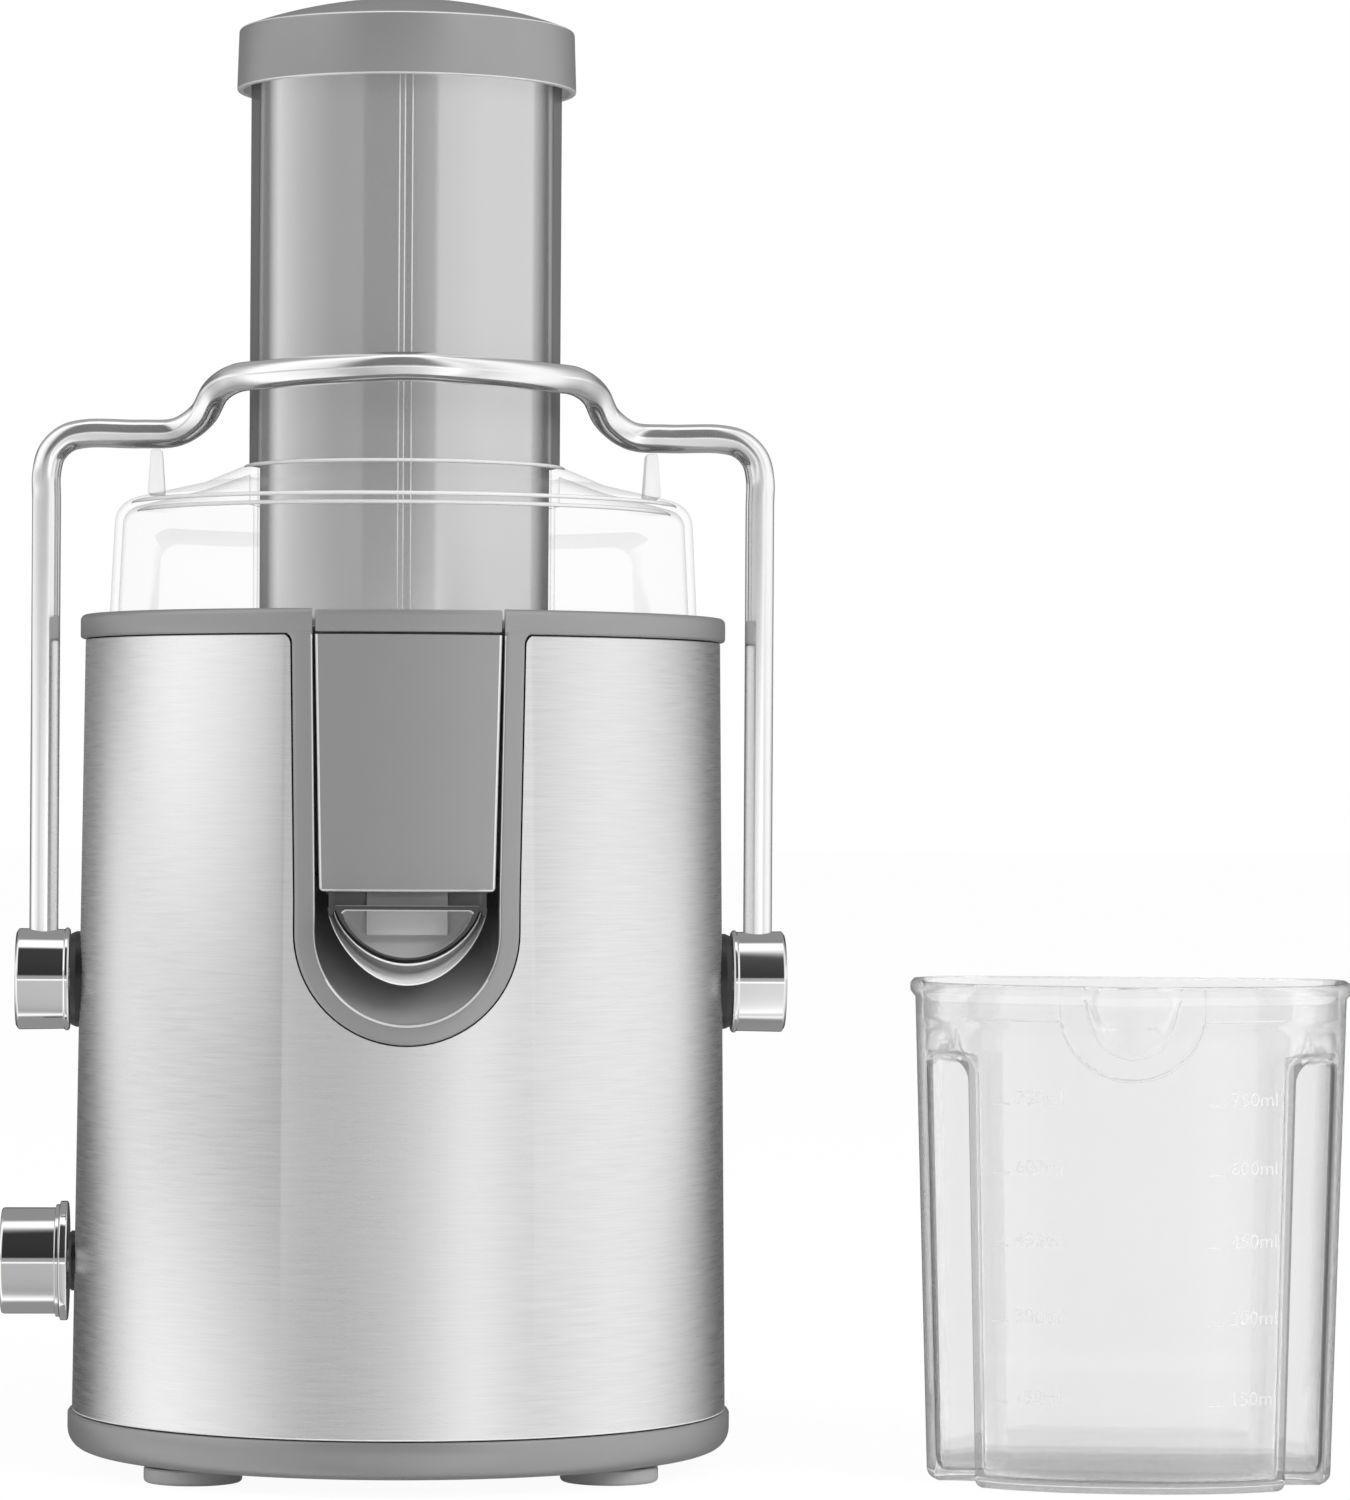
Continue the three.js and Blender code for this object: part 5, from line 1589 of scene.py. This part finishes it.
# --- locking arm
@dataclass
class LockingArm(Assembly):
    """The chromed wire arm, its pivot caps and the black spacers behind them."""

    wire: float = 0.0037
    leg_x: float = 0.0919
    foot: float = 0.1298
    shoulder: float = 0.264
    arch_height: float = 0.2787
    arch_radius: float = 0.0483
    bend: float = 0.01
    cap_radius: float = 0.0132
    cap_in: float = 0.0851
    cap_out: float = 0.0988
    spacer_radius: float = 0.0123

    def half_route(self) -> Ring:
        """Half of the wire's centre line, from the left foot to the front of the arch."""
        x, top, bend, crown = self.leg_x, self.shoulder, self.bend, self.arch_height
        route = [Vector((-x, 0, z)) for z in (self.foot, 0.165, 0.21, top - bend - 0.008)]
        route += upright(arc(bend - x, top - bend, -bend, bend, 0, pi / 2, 3), 0)
        route += [Vector((-0.068, 0, top)), Vector((-0.0585, -0.0008, top + 0.0006))]
        route += [Vector((-0.0522, -0.0045, top + 0.0046)), Vector((-0.0486, -0.011, crown - 0.0044))]
        radius = self.arch_radius
        bow = arc(0, 0, -radius, -radius, radians(26), pi / 2, 4)
        route += [Vector((px, py, crown + 0.0018 * px / radius)) for px, py in bow]
        return route

    def arm(self) -> None:
        """The wire arm, as a round bar along its route."""
        left = self.half_route()
        whole = left + [Vector((-p.x, p.y, p.z)) for p in reversed(left[:-1])]
        route = smooth_route(whole, 9)
        arm = Bench.cord("wire_arm", route, self.wire, 28)
        self.deliver(arm, Slot.WIRE, "arm", "lock_arm")

    def caps(self) -> None:
        """The two pivot caps: drums with an eased outer edge and a thin inner flange."""
        r = self.cap_radius
        corners = [
            (0.0, self.cap_in), (r - 0.0004, self.cap_in), (r, self.cap_in + 0.0004),
            (r, self.cap_in + 0.001, 0.0001), (r - 0.0004, self.cap_in + 0.0014, 0.0002),
            (r - 0.0002, self.cap_out - 0.0007, 0.0005), (r - 0.0012, self.cap_out, 0.0004),
            (0.0, self.cap_out + 0.0002),
        ]
        cap = Bench.turned("cap_model", corners, 4, 128, "X")
        bore = Bench.drum("wire_bore", self.wire + 0.0002, (0.004, 0.03), 40)
        Bench.carve(cap, Bench.shift(bore, at(self.leg_x, 0, 0)))
        lift = at(0, 0, BODY.pivot_height)
        self.deliver_pair(cap, "arm_cap", Slot.CHROME, "arm", "pivot_cap", lift)

    def spacers(self) -> None:
        """The two black spacers, which fit the sleeve's curve behind."""
        r, out = self.spacer_radius, self.cap_in - 0.0003
        corners = [
            (0.0035, 0.076), (r, 0.076), (r, out - 0.0014, 0.0003), (r - 0.0006, out, 0.0003), (0.0035, out)
        ]
        spacer = Bench.turned("spacer_model", corners, 3, 96, "X")
        Bench.carve(Bench.shift(spacer, at(0, 0, BODY.pivot_height)), BODY.hull(0.09, 0.16))
        self.deliver_pair(spacer, "arm_spacer", Slot.BLACK, "body", "pivot_spacer")

    def build(self) -> None:
        """Makes the whole arm."""
        self.arm()
        self.caps()
        self.spacers()


# --- speed control
@dataclass
class SpeedControl(Assembly):
    """The chromed knob on the left side and its black collar."""

    radius: float = 0.0136
    flange: float = 0.0153
    inner: float = 0.0851
    step: float = 0.0883
    outer: float = 0.1023

    def knob(self) -> None:
        """The knob: a drum with a flange, and a pointer line cut across its face."""
        r, flange = self.radius, self.flange
        corners = [
            (0.0, self.inner), (flange - 0.0003, self.inner, 0.0002), (flange, self.inner + 0.0003, 0.0001),
            (flange, self.step - 0.0013, 0.0003), (r + 0.0008, self.step - 0.001, 0.0001),
            (r + 0.0008, self.step - 0.0001, 0.0002), (r, self.step, 0.0001),
            (r, self.outer - 0.0002, 0.0008), (0.0, self.outer),
        ]
        knob = Bench.turned("speed_knob_drum", corners, 4, 128, "X")
        line = Bench.block("pointer", (self.outer - 0.0004, -0.0005, 0.004), (0.11, 0.0005, 0.012))
        Bench.carve(knob, line)
        self.deliver(knob, Slot.CHROME, "knob", "speed_knob", place=at(0, 0, BODY.knob_height) @ FLIP)

    def collar(self) -> None:
        """The collar between the knob and the sleeve."""
        out = self.inner - 0.0003
        corners = [
            (0.0035, 0.078), (0.0077, 0.078), (0.0077, out - 0.0006, 0.0003), (0.007, out, 0.0002),
            (0.0035, out),
        ]
        collar = Bench.turned("knob_neck", corners, 3, 64, "X")
        Bench.shift(collar, at(0, 0, BODY.knob_height) @ FLIP)
        Bench.carve(collar, BODY.hull(0.03, 0.08))
        self.deliver(collar, Slot.BLACK, "body", "knob_collar")

    def build(self) -> None:
        """Makes the knob and its collar."""
        self.knob()
        self.collar()


# --- juicing chamber
@dataclass
class Chamber(Assembly):
    """The filter bowl and the basket that spins in it."""

    bowl_radius: float = 0.075
    bowl_bottom: float = 0.146
    bowl_rim: float = 0.2132
    floor_radius: float = 0.049
    rim_radius: float = 0.063
    floor: float = 0.176
    top: float = 0.207
    columns: int = 168
    rows: int = 15

    def bowl(self) -> None:
        """The bowl: a pan with a boss in the middle and an outlet in front."""
        r, b, rim = self.bowl_radius, self.bowl_bottom, self.bowl_rim
        inner, floor = r - 0.002, b + 0.0025
        boss_in, boss_out, boss_top = 0.017, 0.019, 0.172
        skirt_in, skirt_out, skirt_low = 0.05, 0.053, 0.1433
        corners = [
            (boss_in, b), (skirt_in, b), (skirt_in, skirt_low), (skirt_out, skirt_low), (skirt_out, b),
            (r, b, 0.004), (r, rim, 0.0006), (inner, rim, 0.0006), (inner, floor, 0.005),
            (boss_out, floor, 0.002), (boss_out, boss_top, 0.0006), (boss_in, boss_top, 0.0006),
        ]
        bowl = Bench.turned("juice_bowl", corners, 6, 160)
        half = 0.0083
        Bench.carve(bowl, Bench.block("outlet", (-half, -0.08, b + 0.003), (half, -0.07, 0.166)))
        self.deliver(bowl, Slot.GREY, "body", "filter_bowl")

    def tab(self) -> None:
        """The strip of the bowl's rim that closes the bezel in front."""
        low, high, half = 0.2115, 0.217, 0.023

        def place(u: float, v: float) -> Vector:
            """A point of the strip's outer face."""
            x, z = mix(-half, half, u), mix(low, high, v)
            return Vector((x, -sqrt(BODY.ring_radius**2 - x**2), z))

        tab = Bench.sheet("bowl_rim_tab", 48, 4, place)
        Bench.thicken(tab, 0.0066, Bench.inwards(tab))
        Bench.soften(tab, 0.0005)
        self.deliver(tab, Slot.GREY, "body")

    def strainer(self) -> None:
        """The perforated cone: a sheet of small square holes between two plain margins."""

        def place(u: float, v: float) -> Vector:
            """A point of the cone."""
            r = mix(self.floor_radius, self.rim_radius, v) - 0.0004
            z = mix(self.floor, self.top, v)
            return Vector((r * cos(TURN * u), r * sin(TURN * u), z))

        cone = Bench.sheet("perforated_cone", self.columns, self.rows, place)
        Bench.heal(cone)
        margin = 0.0022
        with Bench.editing(cone):
            bpy.ops.mesh.select_mode(type="FACE")
            mesh = bmesh.from_edit_mesh(cone.data)
            for face in mesh.faces:
                z = face.calc_center_median().z
                face.select = self.floor + margin < z < self.top - margin
            bmesh.update_edit_mesh(cone.data)
            bpy.ops.mesh.inset(thickness=0.00052, use_individual=True)
            bpy.ops.mesh.delete(type="FACE")
        Bench.thicken(cone, 0.0004)
        self.deliver(cone, Slot.BASKET, "rotor", "filter_mesh", smooth=25)

    def hub(self) -> None:
        """The basket's moulded floor, with the socket for the coupling under it."""
        r, low, high = self.floor_radius, 0.1728, 0.1752
        socket, boss, hole, foot, seat = 0.0128, 0.0154, 0.008, 0.156, 0.1732
        corners = [
            (socket, foot), (boss, foot, 0.0005), (boss, low, 0.001), (r, low, 0.0006), (r, high, 0.0004),
            (hole, high), (hole, seat), (socket, seat),
        ]
        hub = Bench.turned("basket_floor", corners, 4, 128)
        self.deliver(hub, Slot.GREY, "rotor", "basket_hub")

    def grater(self) -> None:
        """The grater disc: pressed steel with rings of small punched teeth."""
        r, low, high = 0.0478, 0.1755, 0.1767
        corners = [
            (0.0, low), (r, low, 0.0002), (r, high, 0.0003), (0.014, high, 0.003), (0.008, 0.18, 0.002),
            (0.0, 0.1815),
        ]
        disc = Bench.turned("toothed_disc", corners, 4, 128)
        tooth = Bench.skin("tooth", [circle(0.0008, 0.1765, 6), circle(0.0001, 0.178, 6)])
        teeth = []
        for ring in range(9):
            radius = 0.0175 + 0.0034 * ring
            count = 10 + 3 * ring
            for i in range(count):
                a = TURN * (i / count + 0.13 * ring)
                turn = Matrix.Rotation(a, 4, "Z") @ at(radius, 0, 0)
                teeth.append(Bench.shift(Bench.copy(tooth, "tooth_copy"), turn))
        bpy.data.objects.remove(tooth)
        disc = Bench.gather("toothed_disc", [disc, *teeth])
        self.deliver(disc, Slot.BASKET, "rotor", "grater_disc", smooth=30)

    def rim(self) -> None:
        """The basket's moulded rim."""
        r, out, low, high = self.rim_radius - 0.001, 0.0675, self.top + 0.0003, 0.211
        corners = [(r, low, 0.0003), (out, low, 0.0008), (out, high, 0.0012), (r, high, 0.0012)]
        rim = Bench.turned("basket_collar", corners, 5, 160)
        self.deliver(rim, Slot.GREY, "rotor", "basket_rim")

    def build(self) -> None:
        """Makes the bowl and the basket."""
        self.bowl()
        self.tab()
        self.strainer()
        self.hub()
        self.grater()
        self.rim()


# --- pulp bin
@dataclass
class PulpBin(Assembly):
    """The pulp bin behind the housing, hollowed in front and with a grip behind."""

    half: float = 0.068
    front: float = 0.0863
    end: float = 0.17
    corner: float = 0.044
    bottom: float = 0.014
    top: float = 0.2128
    rim_bottom: float = 0.2035
    rim_proud: float = 0.0011
    wall: float = 0.002

    def outline(self, less: float) -> Profile:
        """The plan, smaller by that much all round, anticlockwise."""
        half, front, end = self.half - less, self.front + less, self.end - less
        round_ = self.corner - less
        reach = asin((half - 0.002) / front)
        step = cos(reach) * front + 0.004
        hollow = arc(0, 0, front, front, pi / 2 + reach, pi / 2 - reach, 48)
        return [(half, step), *round_back(half, end, round_, 16), (-half, step), *hollow]

    def build(self) -> None:
        """Makes the bin as one thin-walled moulding."""
        levels = arc(0.0034, self.bottom + 0.0024, 0.0022, 0.0024, -pi / 2, -pi, 6)
        proud = self.rim_proud
        levels += [(0.0, self.rim_bottom), (-proud, self.rim_bottom + proud)]
        levels += [(-proud, self.top - 0.0004), (0.0004 - proud, self.top)]
        wall = self.wall
        levels += [(wall - 0.0004, self.top), (wall, self.top - 0.0004)]
        levels += [(wall + 0.0012, self.bottom + 0.006), (wall + 0.002, self.bottom + 0.0035)]
        levels += [(wall + 0.0034, self.bottom + 0.0024)]
        bin_ = Bench.skin("smoke_pulp_bin", [level(self.outline(d), z) for d, z in levels])
        grip = Bench.block("grip", (-0.03, self.end - 0.0015, 0.172), (0.03, self.end + 0.011, 0.189))
        Bench.carve(
            grip, Bench.block("under", (-0.034, self.end - 0.01, 0.168), (0.034, self.end + 0.0082, 0.186))
        )
        Bench.soften(grip, 0.0012)
        Bench.carve(bin_, grip, how="UNION")
        self.deliver(bin_, Slot.BIN, "bin", "pulp_bin", smooth=40)


# --- juice jug
@dataclass
class JuiceJug(Assembly):
    """The clear jug: a bowed front, a flute at each front corner, a beak and a moulded scale."""

    place_x: float = 0.1834
    place_y: float = -0.042
    turn: float = -6.9
    half: float = 0.0545
    front: float = -0.039
    back: float = 0.04
    height: float = 0.1254
    wall: float = 0.002
    foot_scale: float = 0.932
    corner: float = 0.018
    drum_half: float = 0.0411
    flute_depth: float = -0.012
    flute_top: float = 0.1035
    middle: float = 0.002
    bow: float = 2.2
    beak_radius: float = 0.0186
    columns: int = 480

    def plan(self, less: float) -> Profile:
        """The rim's plan, smaller by that much all round, anticlockwise from its front."""
        a, b = self.half - less, self.middle - self.front - less
        front: Profile = []
        steps, power = 120, 2 / self.bow
        for i in range(steps + 1):
            turn = pi * (1 + i / steps)
            c, s = cos(turn), sin(turn)
            front.append((a * copysign(abs(c) ** power, c), self.middle - b * abs(s) ** power))
        corner = self.corner - less
        return self._even(front + round_back(a, self.back - less, corner, 20))

    def _even(self, outline: Profile) -> Profile:
        """The same outline with evenly spaced points, starting at its front's middle."""
        points = [Vector(p) for p in outline]
        lengths = [(points[(i + 1) % len(points)] - p).length for i, p in enumerate(points)]
        total = sum(lengths)
        start = min(range(len(points)), key=lambda i: (abs(points[i].x), points[i].y))
        even: Profile = []
        i, passed = start, 0.0
        for k in range(self.columns):
            goal = total * k / self.columns
            while passed + lengths[i] < goal:
                passed += lengths[i]
                i = (i + 1) % len(points)
            share = (goal - passed) / lengths[i] if lengths[i] else 0.0
            point = points[i].lerp(points[(i + 1) % len(points)], share)
            even.append((point.x, point.y))
        return even

    def fluted(self, x: float, y: float, z: float, less: float) -> tuple[float, float]:
        """A point of the plan, pushed in where the flutes are.

        Args:
            x: The point's place across, in the rim's plan.
            y: Its place along.
            z: Its height.
            less: How far inside the outer skin it is.

        Returns:
            The point's new place.
        """
        edge, deep = self.drum_half - less, self.flute_depth + less
        if y >= deep or abs(x) <= edge:
            return x, y
        across = (abs(x) - edge) / (self.half - edge)
        rounded = 0.006 * (1 - sqrt(max(1 - (2 * min(across, 1) - 1) ** 2, 0.0)))
        top = self.flute_top + 0.004 - rounded + less * 0.8
        share = ease((top - z) / 0.0022)
        if share <= 0:
            return x, y
        corner_y = self._front_at(edge, less)
        slide = min((abs(x) - edge) / 0.005, 1.0)
        target = (edge, mix(corner_y, deep, slide)) if slide < 1 else (abs(x), deep)
        px = mix(abs(x), target[0], share)
        py = mix(y, target[1], share)
        return copysign(max(px, edge), x), py

    def _front_at(self, x: float, less: float) -> float:
        """Where the bowed front is at a place across."""
        a, b = self.half - less, self.middle - self.front - less
        share = min(abs(x) / a, 1.0)
        return self.middle - b * (1 - share**self.bow) ** (1 / self.bow)

    def beak(self, x: float, z: float) -> float:
        """How far the pouring beak stands out of the front."""
        down = self.height - z
        wide = hypot(x, down - 0.005) / self.beak_radius
        slim = (x / 0.0122) ** 2 + (down / 0.0172) ** 1.5
        shallow = 0.0009 * ease((1 - wide) / 0.05) if wide < 1 else 0.0
        deep = 0.0058 * (1 - slim) ** 0.8 if slim < 1 else 0.0
        return shallow + deep

    def ring(self, outline: Profile, z: float, less: float) -> Ring:
        """The jug's skin at a height."""
        scale = mix(self.foot_scale, 1.0, z / self.height)
        points: Ring = []
        for x, y in outline:
            x, y = self.fluted(x, y, z, less)
            if y < 0 and abs(x) < self.beak_radius:
                y -= self.beak(x, z)
            points.append(Vector((x * scale, y * scale, z)))
        return points

    def shell(self) -> None:
        """The jug's wall, floor and rim in one moulding."""
        top, wall = self.height, self.wall
        levels = [(0.0026, 0.0), *arc(0.0022, 0.0022, 0.0022, 0.0022, -pi / 2, -pi, 5)[1:]]
        levels += [(0.0, z) for z in (0.03, 0.06, 0.09, 0.097)]
        levels += [(0.0, 0.0985 + 0.0004 * k) for k in range(26)]
        levels += [(0.0, z * MM) for z in (110, 112, 114, 116, 118, 120, 121.4)]
        levels += [(-0.0006, 0.1222), (-0.0012, 0.123), (-0.0012, top - 0.0006), (-0.0006, top)]
        levels += [(wall - 0.0006, top), (wall, top - 0.0006)]
        levels += [(wall, z * MM) for z in (121, 119, 117)]
        levels += [(wall, 0.1156), (wall + 0.0005, 0.115), (wall + 0.0005, 0.112)]
        levels += [(wall + 0.0005, 0.1085 - 0.0004 * k) for k in range(26)]
        levels += [(wall + 0.0005, z) for z in (0.097, 0.09, 0.06, 0.03, 0.0055)]
        levels += [(wall + 0.0011, 0.0036), (wall + 0.0024, 0.0026)]
        plans = {less: self.plan(less) for less, _ in levels}
        rings = [self.ring(plans[less], z, max(less, 0.0)) for less, z in levels]
        jug = Bench.skin("clear_jug", rings)
        self.deliver(jug, Slot.JUG, "jug", "juice_jug", smooth=45, place=self.stand())

    def stand(self) -> Matrix:
        """Where the jug stands, beside the juicer and a little turned."""
        turn = Matrix.Rotation(radians(self.turn), 4, "Z")
        return at(self.place_x, self.place_y, 0) @ turn

    def scale(self) -> None:
        """The moulded scale: a number and a short line at each step, on both sides."""
        marks = []
        for volume, height in ((750, 96), (600, 79), (450, 61), (300, 42), (150, 22)):
            for side in (-1, 1):
                marks += self._mark(f"{volume}ml", side, height * MM)
        marks += self.lines()
        scale = Bench.gather("moulded_scale", marks)
        Bench.heal(scale)
        self.deliver(scale, Slot.MARKS, "jug", place=self.stand())

    def lines(self) -> list[Piece]:
        """Fine raised pale lines round the beak and along the ledge under the rim, which paint the
        highlight lines of these folds.
        """
        half = [(0.0118, 0.1223), (0.0106, 0.117), (0.0083, 0.112), (0.0047, 0.1088), (0.0, 0.1076)]
        spout = [Vector((-x, 0, z)) for x, z in half] + [Vector((x, 0, z)) for x, z in half[-2::-1]]
        spout = smooth_route(spout, 10)
        radius, drop = 0.0184, self.height - 0.005
        bow = arc(0, drop, radius, radius, 1.06 * pi, 1.94 * pi, 48)
        disc = upright(bow, 0)
        ledges = []
        for side in (-1, 1):
            xs = [side * mix(0.0184, 0.0375, k / 16) for k in range(17)]
            ledges.append([Vector((x, 0, 0.1168)) for x in xs])
        cords = []
        for route in (spout, disc, *ledges):
            placed = []
            for p in route:
                shrink = mix(self.foot_scale, 1.0, p.z / self.height)
                x = p.x / shrink
                y = (self._front_at(x, 0.0) - self.beak(x, p.z)) * shrink
                placed.append(Vector((p.x, y - 0.00005, p.z)))
            cords.append(Bench.cord("line", placed, 0.0003, 6))
        return cords

    def _mark(self, words: str, side: int, z: float) -> list[Piece]:
        """One number with its line, raised a little from the jug's front."""
        Bench.clear()
        bpy.ops.object.text_add()
        text = bpy.context.object
        text.data.body = words
        text.data.size = 0.0048
        text.data.extrude = 0.00018
        text.data.align_x = "LEFT"
        text.data.resolution_u = 3
        bpy.ops.object.convert(target="MESH")
        start = -0.0288 if side < 0 else 0.0243
        line = Bench.block("line", (start - 0.0055, -0.00025, -0.00018), (start - 0.0015, 0.00025, 0.00018))
        for vert in text.data.vertices:
            vert.co.x += start
        for piece in (text, line):
            for vert in piece.data.vertices:
                x, up, proud = vert.co
                height = z + up
                shrink = mix(self.foot_scale, 1.0, height / self.height)
                front = self._front_at(x / shrink, 0.0) * shrink
                vert.co = Vector((x, front - 0.0001 - proud, height))
        return [text, line]

    def build(self) -> None:
        """Makes the jug and its scale."""
        self.shell()
        self.scale()


# --- studio
@dataclass
class Studio:
    """The floor, the light and the camera."""

    axis: Vector
    distance: float = 1.55
    eye: float = 0.1738
    sideways: float = -0.024
    pan: float = -3.48
    tilt: float = 0.36
    roll: float = 0.33
    lens: float = 144.14
    ambient: float = 0.62
    gain: float = 1.22
    low_walls: tuple = (
        (-180, 0.24), (-140, 0.25), (-124, 0.44), (-105, 0.9), (-90, 0.95), (-70, 0.84), (-50, 0.66),
        (-36, 0.4), (-24, 0.34), (-8, 0.45), (8, 0.58), (20, 0.86), (27, 0.98), (35, 0.72), (46, 0.58),
        (62, 0.76), (80, 0.84), (98, 0.78), (112, 0.58), (128, 0.36), (145, 0.22), (180, 0.24),
    )
    high_walls: tuple = (
        (-180, 0.4), (-150, 0.9), (-128, 0.9), (-95, 0.6), (-60, 0.4), (-36, 0.4), (-33, 0.3), (0, 0.3),
        (22, 0.45), (25, 0.7), (60, 0.8), (118, 0.8), (124, 0.5), (157, 0.3), (180, 0.3),
    )
    split: tuple = ((0.8, 0.0), (1.3, 1.0), (9, 1.0), (11, 0.0))
    ends: tuple = ((-180, 0.8), (-142, 0.8), (-122, 0.0), (126, 0.0), (144, 0.7), (180, 0.8))
    ends_height: tuple = ((-25, 0.0), (-12, 1.0), (14, 1.0), (22, 0.0))
    overhead: tuple = ((-90, 0.0), (74, 0.0), (79, 0.92), (90, 0.92))
    ahead: tuple = ((-44, 0.0), (-28, 1.0), (16, 1.0), (34, 0.0))
    dark_wall: tuple = ((8, 0.0), (10, 0.94), (73, 0.9), (79, 0.0))
    skyline: tuple = ((-2.5, 0.0), (-2.0, 0.5), (0.8, 0.5), (1.3, 0.0))

    def camera(self) -> None:
        """The camera, in front of the juicer and a little above its middle."""
        data = bpy.data.cameras.new("camera")
        data.lens = self.lens
        data.sensor_width = 36.0
        data.clip_start = 0.05
        camera = bpy.data.objects.new("camera", data)
        place = Vector((self.axis.x + self.sideways, self.axis.y - self.distance, self.eye))
        turn = Matrix.Rotation(radians(self.pan), 4, "Z")
        lift = Matrix.Rotation(radians(90 + self.tilt), 4, "X")
        roll = Matrix.Rotation(radians(self.roll), 4, "Z")
        camera.matrix_world = Matrix.Translation(place) @ turn @ lift @ roll
        bpy.context.scene.collection.objects.link(camera)
        bpy.context.scene.camera = camera

    def world(self) -> None:
        """White to the camera and through glass, softboxes in mirrors, and an even light elsewhere."""
        world = bpy.data.worlds.new("studio_white")
        bpy.context.scene.world = world
        air = Tree(world)
        white = air.node("Background", {}, {"Color": (1, 1, 1, 1), "Strength": 1.0})
        even = air.node("Background", {}, {"Color": (1, 1, 1, 1), "Strength": self.ambient})
        mirrored = air.node("Background", {}, {"Color": self.softboxes(air)})
        seen = air.math("MAXIMUM", air.ray("Camera"), air.ray("Transmission"))
        inner = air.node("MixShader", {}, {0: air.ray("Glossy"), 1: even, 2: mirrored})
        outer = air.node("MixShader", {}, {0: seen, 1: inner, 2: white})
        air.surface(outer, "World")

    def softboxes(self, air: Tree) -> Signal:
        """What mirrors see: two side softboxes, one overhead, and dark room between them.

        Args:
            air: The world's node tree.

        Returns:
            The brightness by direction, as a grey.
        """
        x, y, z = air.parts(air.node("TexCoord", output="Generated"))
        turn = air.math("ARCTAN2", x, 0 - y) * (1 / TURN) + 0.5
        height = air.math("ARCSINE", z) * (1 / pi) + 0.5

        def by_azimuth(stops: Stops) -> Signal:
            """A level that changes round the horizon, from 0 degrees in front to 90 on the right."""
            return air.ramp(turn, [(0.5 + degrees / 360, level) for degrees, level in stops])

        def by_height(stops: Stops) -> Signal:
            """A level that changes from straight down to straight up."""
            return air.ramp(height, [(0.5 + degrees / 180, level) for degrees, level in stops])

        low = by_azimuth(self.low_walls)
        walls = low + (by_azimuth(self.high_walls) - low) * by_height(self.split)
        walls = walls * (1 - by_azimuth(self.ends) * by_height(self.ends_height))
        room = walls + by_height(self.overhead) * (1 - walls)
        ahead = by_azimuth(self.ahead)
        dimmed = room * (1 - ahead * by_height(self.dark_wall))
        return (dimmed + ahead * by_height(self.skyline)) * self.gain

    def floor(self) -> None:
        """A wide white floor, which keeps a faint shadow."""
        Bench.clear()
        bpy.ops.mesh.primitive_plane_add(size=30.0)
        floor = bpy.context.object
        floor.name = "floor"
        material = bpy.data.materials.new("floor_white")
        ground = Tree(material)
        matte = ground.node("BsdfDiffuse", {}, {"Color": (0.9, 0.9, 0.9, 1)})
        glow = ground.node("Emission", {}, {"Strength": 1.02})
        gone = ground.node("BsdfTransparent")
        pale = ground.node("MixShader", {}, {0: ground.ray("Camera") * 0.93, 1: matte, 2: glow})
        mixed = ground.node("MixShader", {}, {0: ground.ray("Glossy"), 1: pale, 2: gone})
        ground.surface(mixed)
        floor.data.materials.append(material)

    def lamp(self, name: str, place: Vector, size: tuple[float, float], watts: float) -> None:
        """An area lamp that looks at the middle of the juicer.

        Args:
            name: The lamp's name.
            place: Where it hangs, from the motor's axis on the floor.
            size: Its width and height.
            watts: Its power.
        """
        data = bpy.data.lights.new(name, "AREA")
        data.shape = "RECTANGLE"
        data.size, data.size_y = size
        data.energy = watts
        lamp = bpy.data.objects.new(name, data)
        lamp.visible_glossy = False
        aim = Vector((0.03, 0, 0.19))
        lamp.matrix_world = Matrix.Translation(self.axis + place) @ (
            (aim - place).to_track_quat("-Z", "Y").to_matrix().to_4x4()
        )
        bpy.context.scene.collection.objects.link(lamp)

    def build(self) -> None:
        """Sets up the whole studio."""
        bpy.context.scene.view_settings.view_transform = "Standard"
        self.camera()
        self.world()
        self.floor()
        self.lamp("key", Vector((1.2, -1.3, 1.3)), (0.9, 0.9), 20)
        self.lamp("fill", Vector((-1.6, -0.9, 0.9)), (0.8, 1.2), 6)


# --- everything
def main() -> None:
    """Builds the looks round the frame, and logs how many pieces each sub-assembly makes."""
    logging.basicConfig(level=logging.INFO, format="%(name)s: %(message)s")
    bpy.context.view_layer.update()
    low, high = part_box("motor_shaft")
    axis = Vector(((low.x + high.x) / 2, (low.y + high.y) / 2, 0.0))
    Studio(axis).build()
    palette = Palette(axis)
    slots = {row["node"]: Slot(row["material_slot"]) for row in frame["record"]["subparts"]}
    for name, node in frame["nodes"].items():
        palette.dress(node, slots[name])
    for kind in (Base, Housing, Spout, Lid, Pusher, LockingArm, SpeedControl, Chamber, PulpBin, JuiceJug):
        assembly = kind(palette, axis)
        assembly.build()
        LOG.info("%s: %d pieces", kind.__name__, assembly.made)
    bpy.context.view_layer.update()


if __name__ == "__main__":
    main()
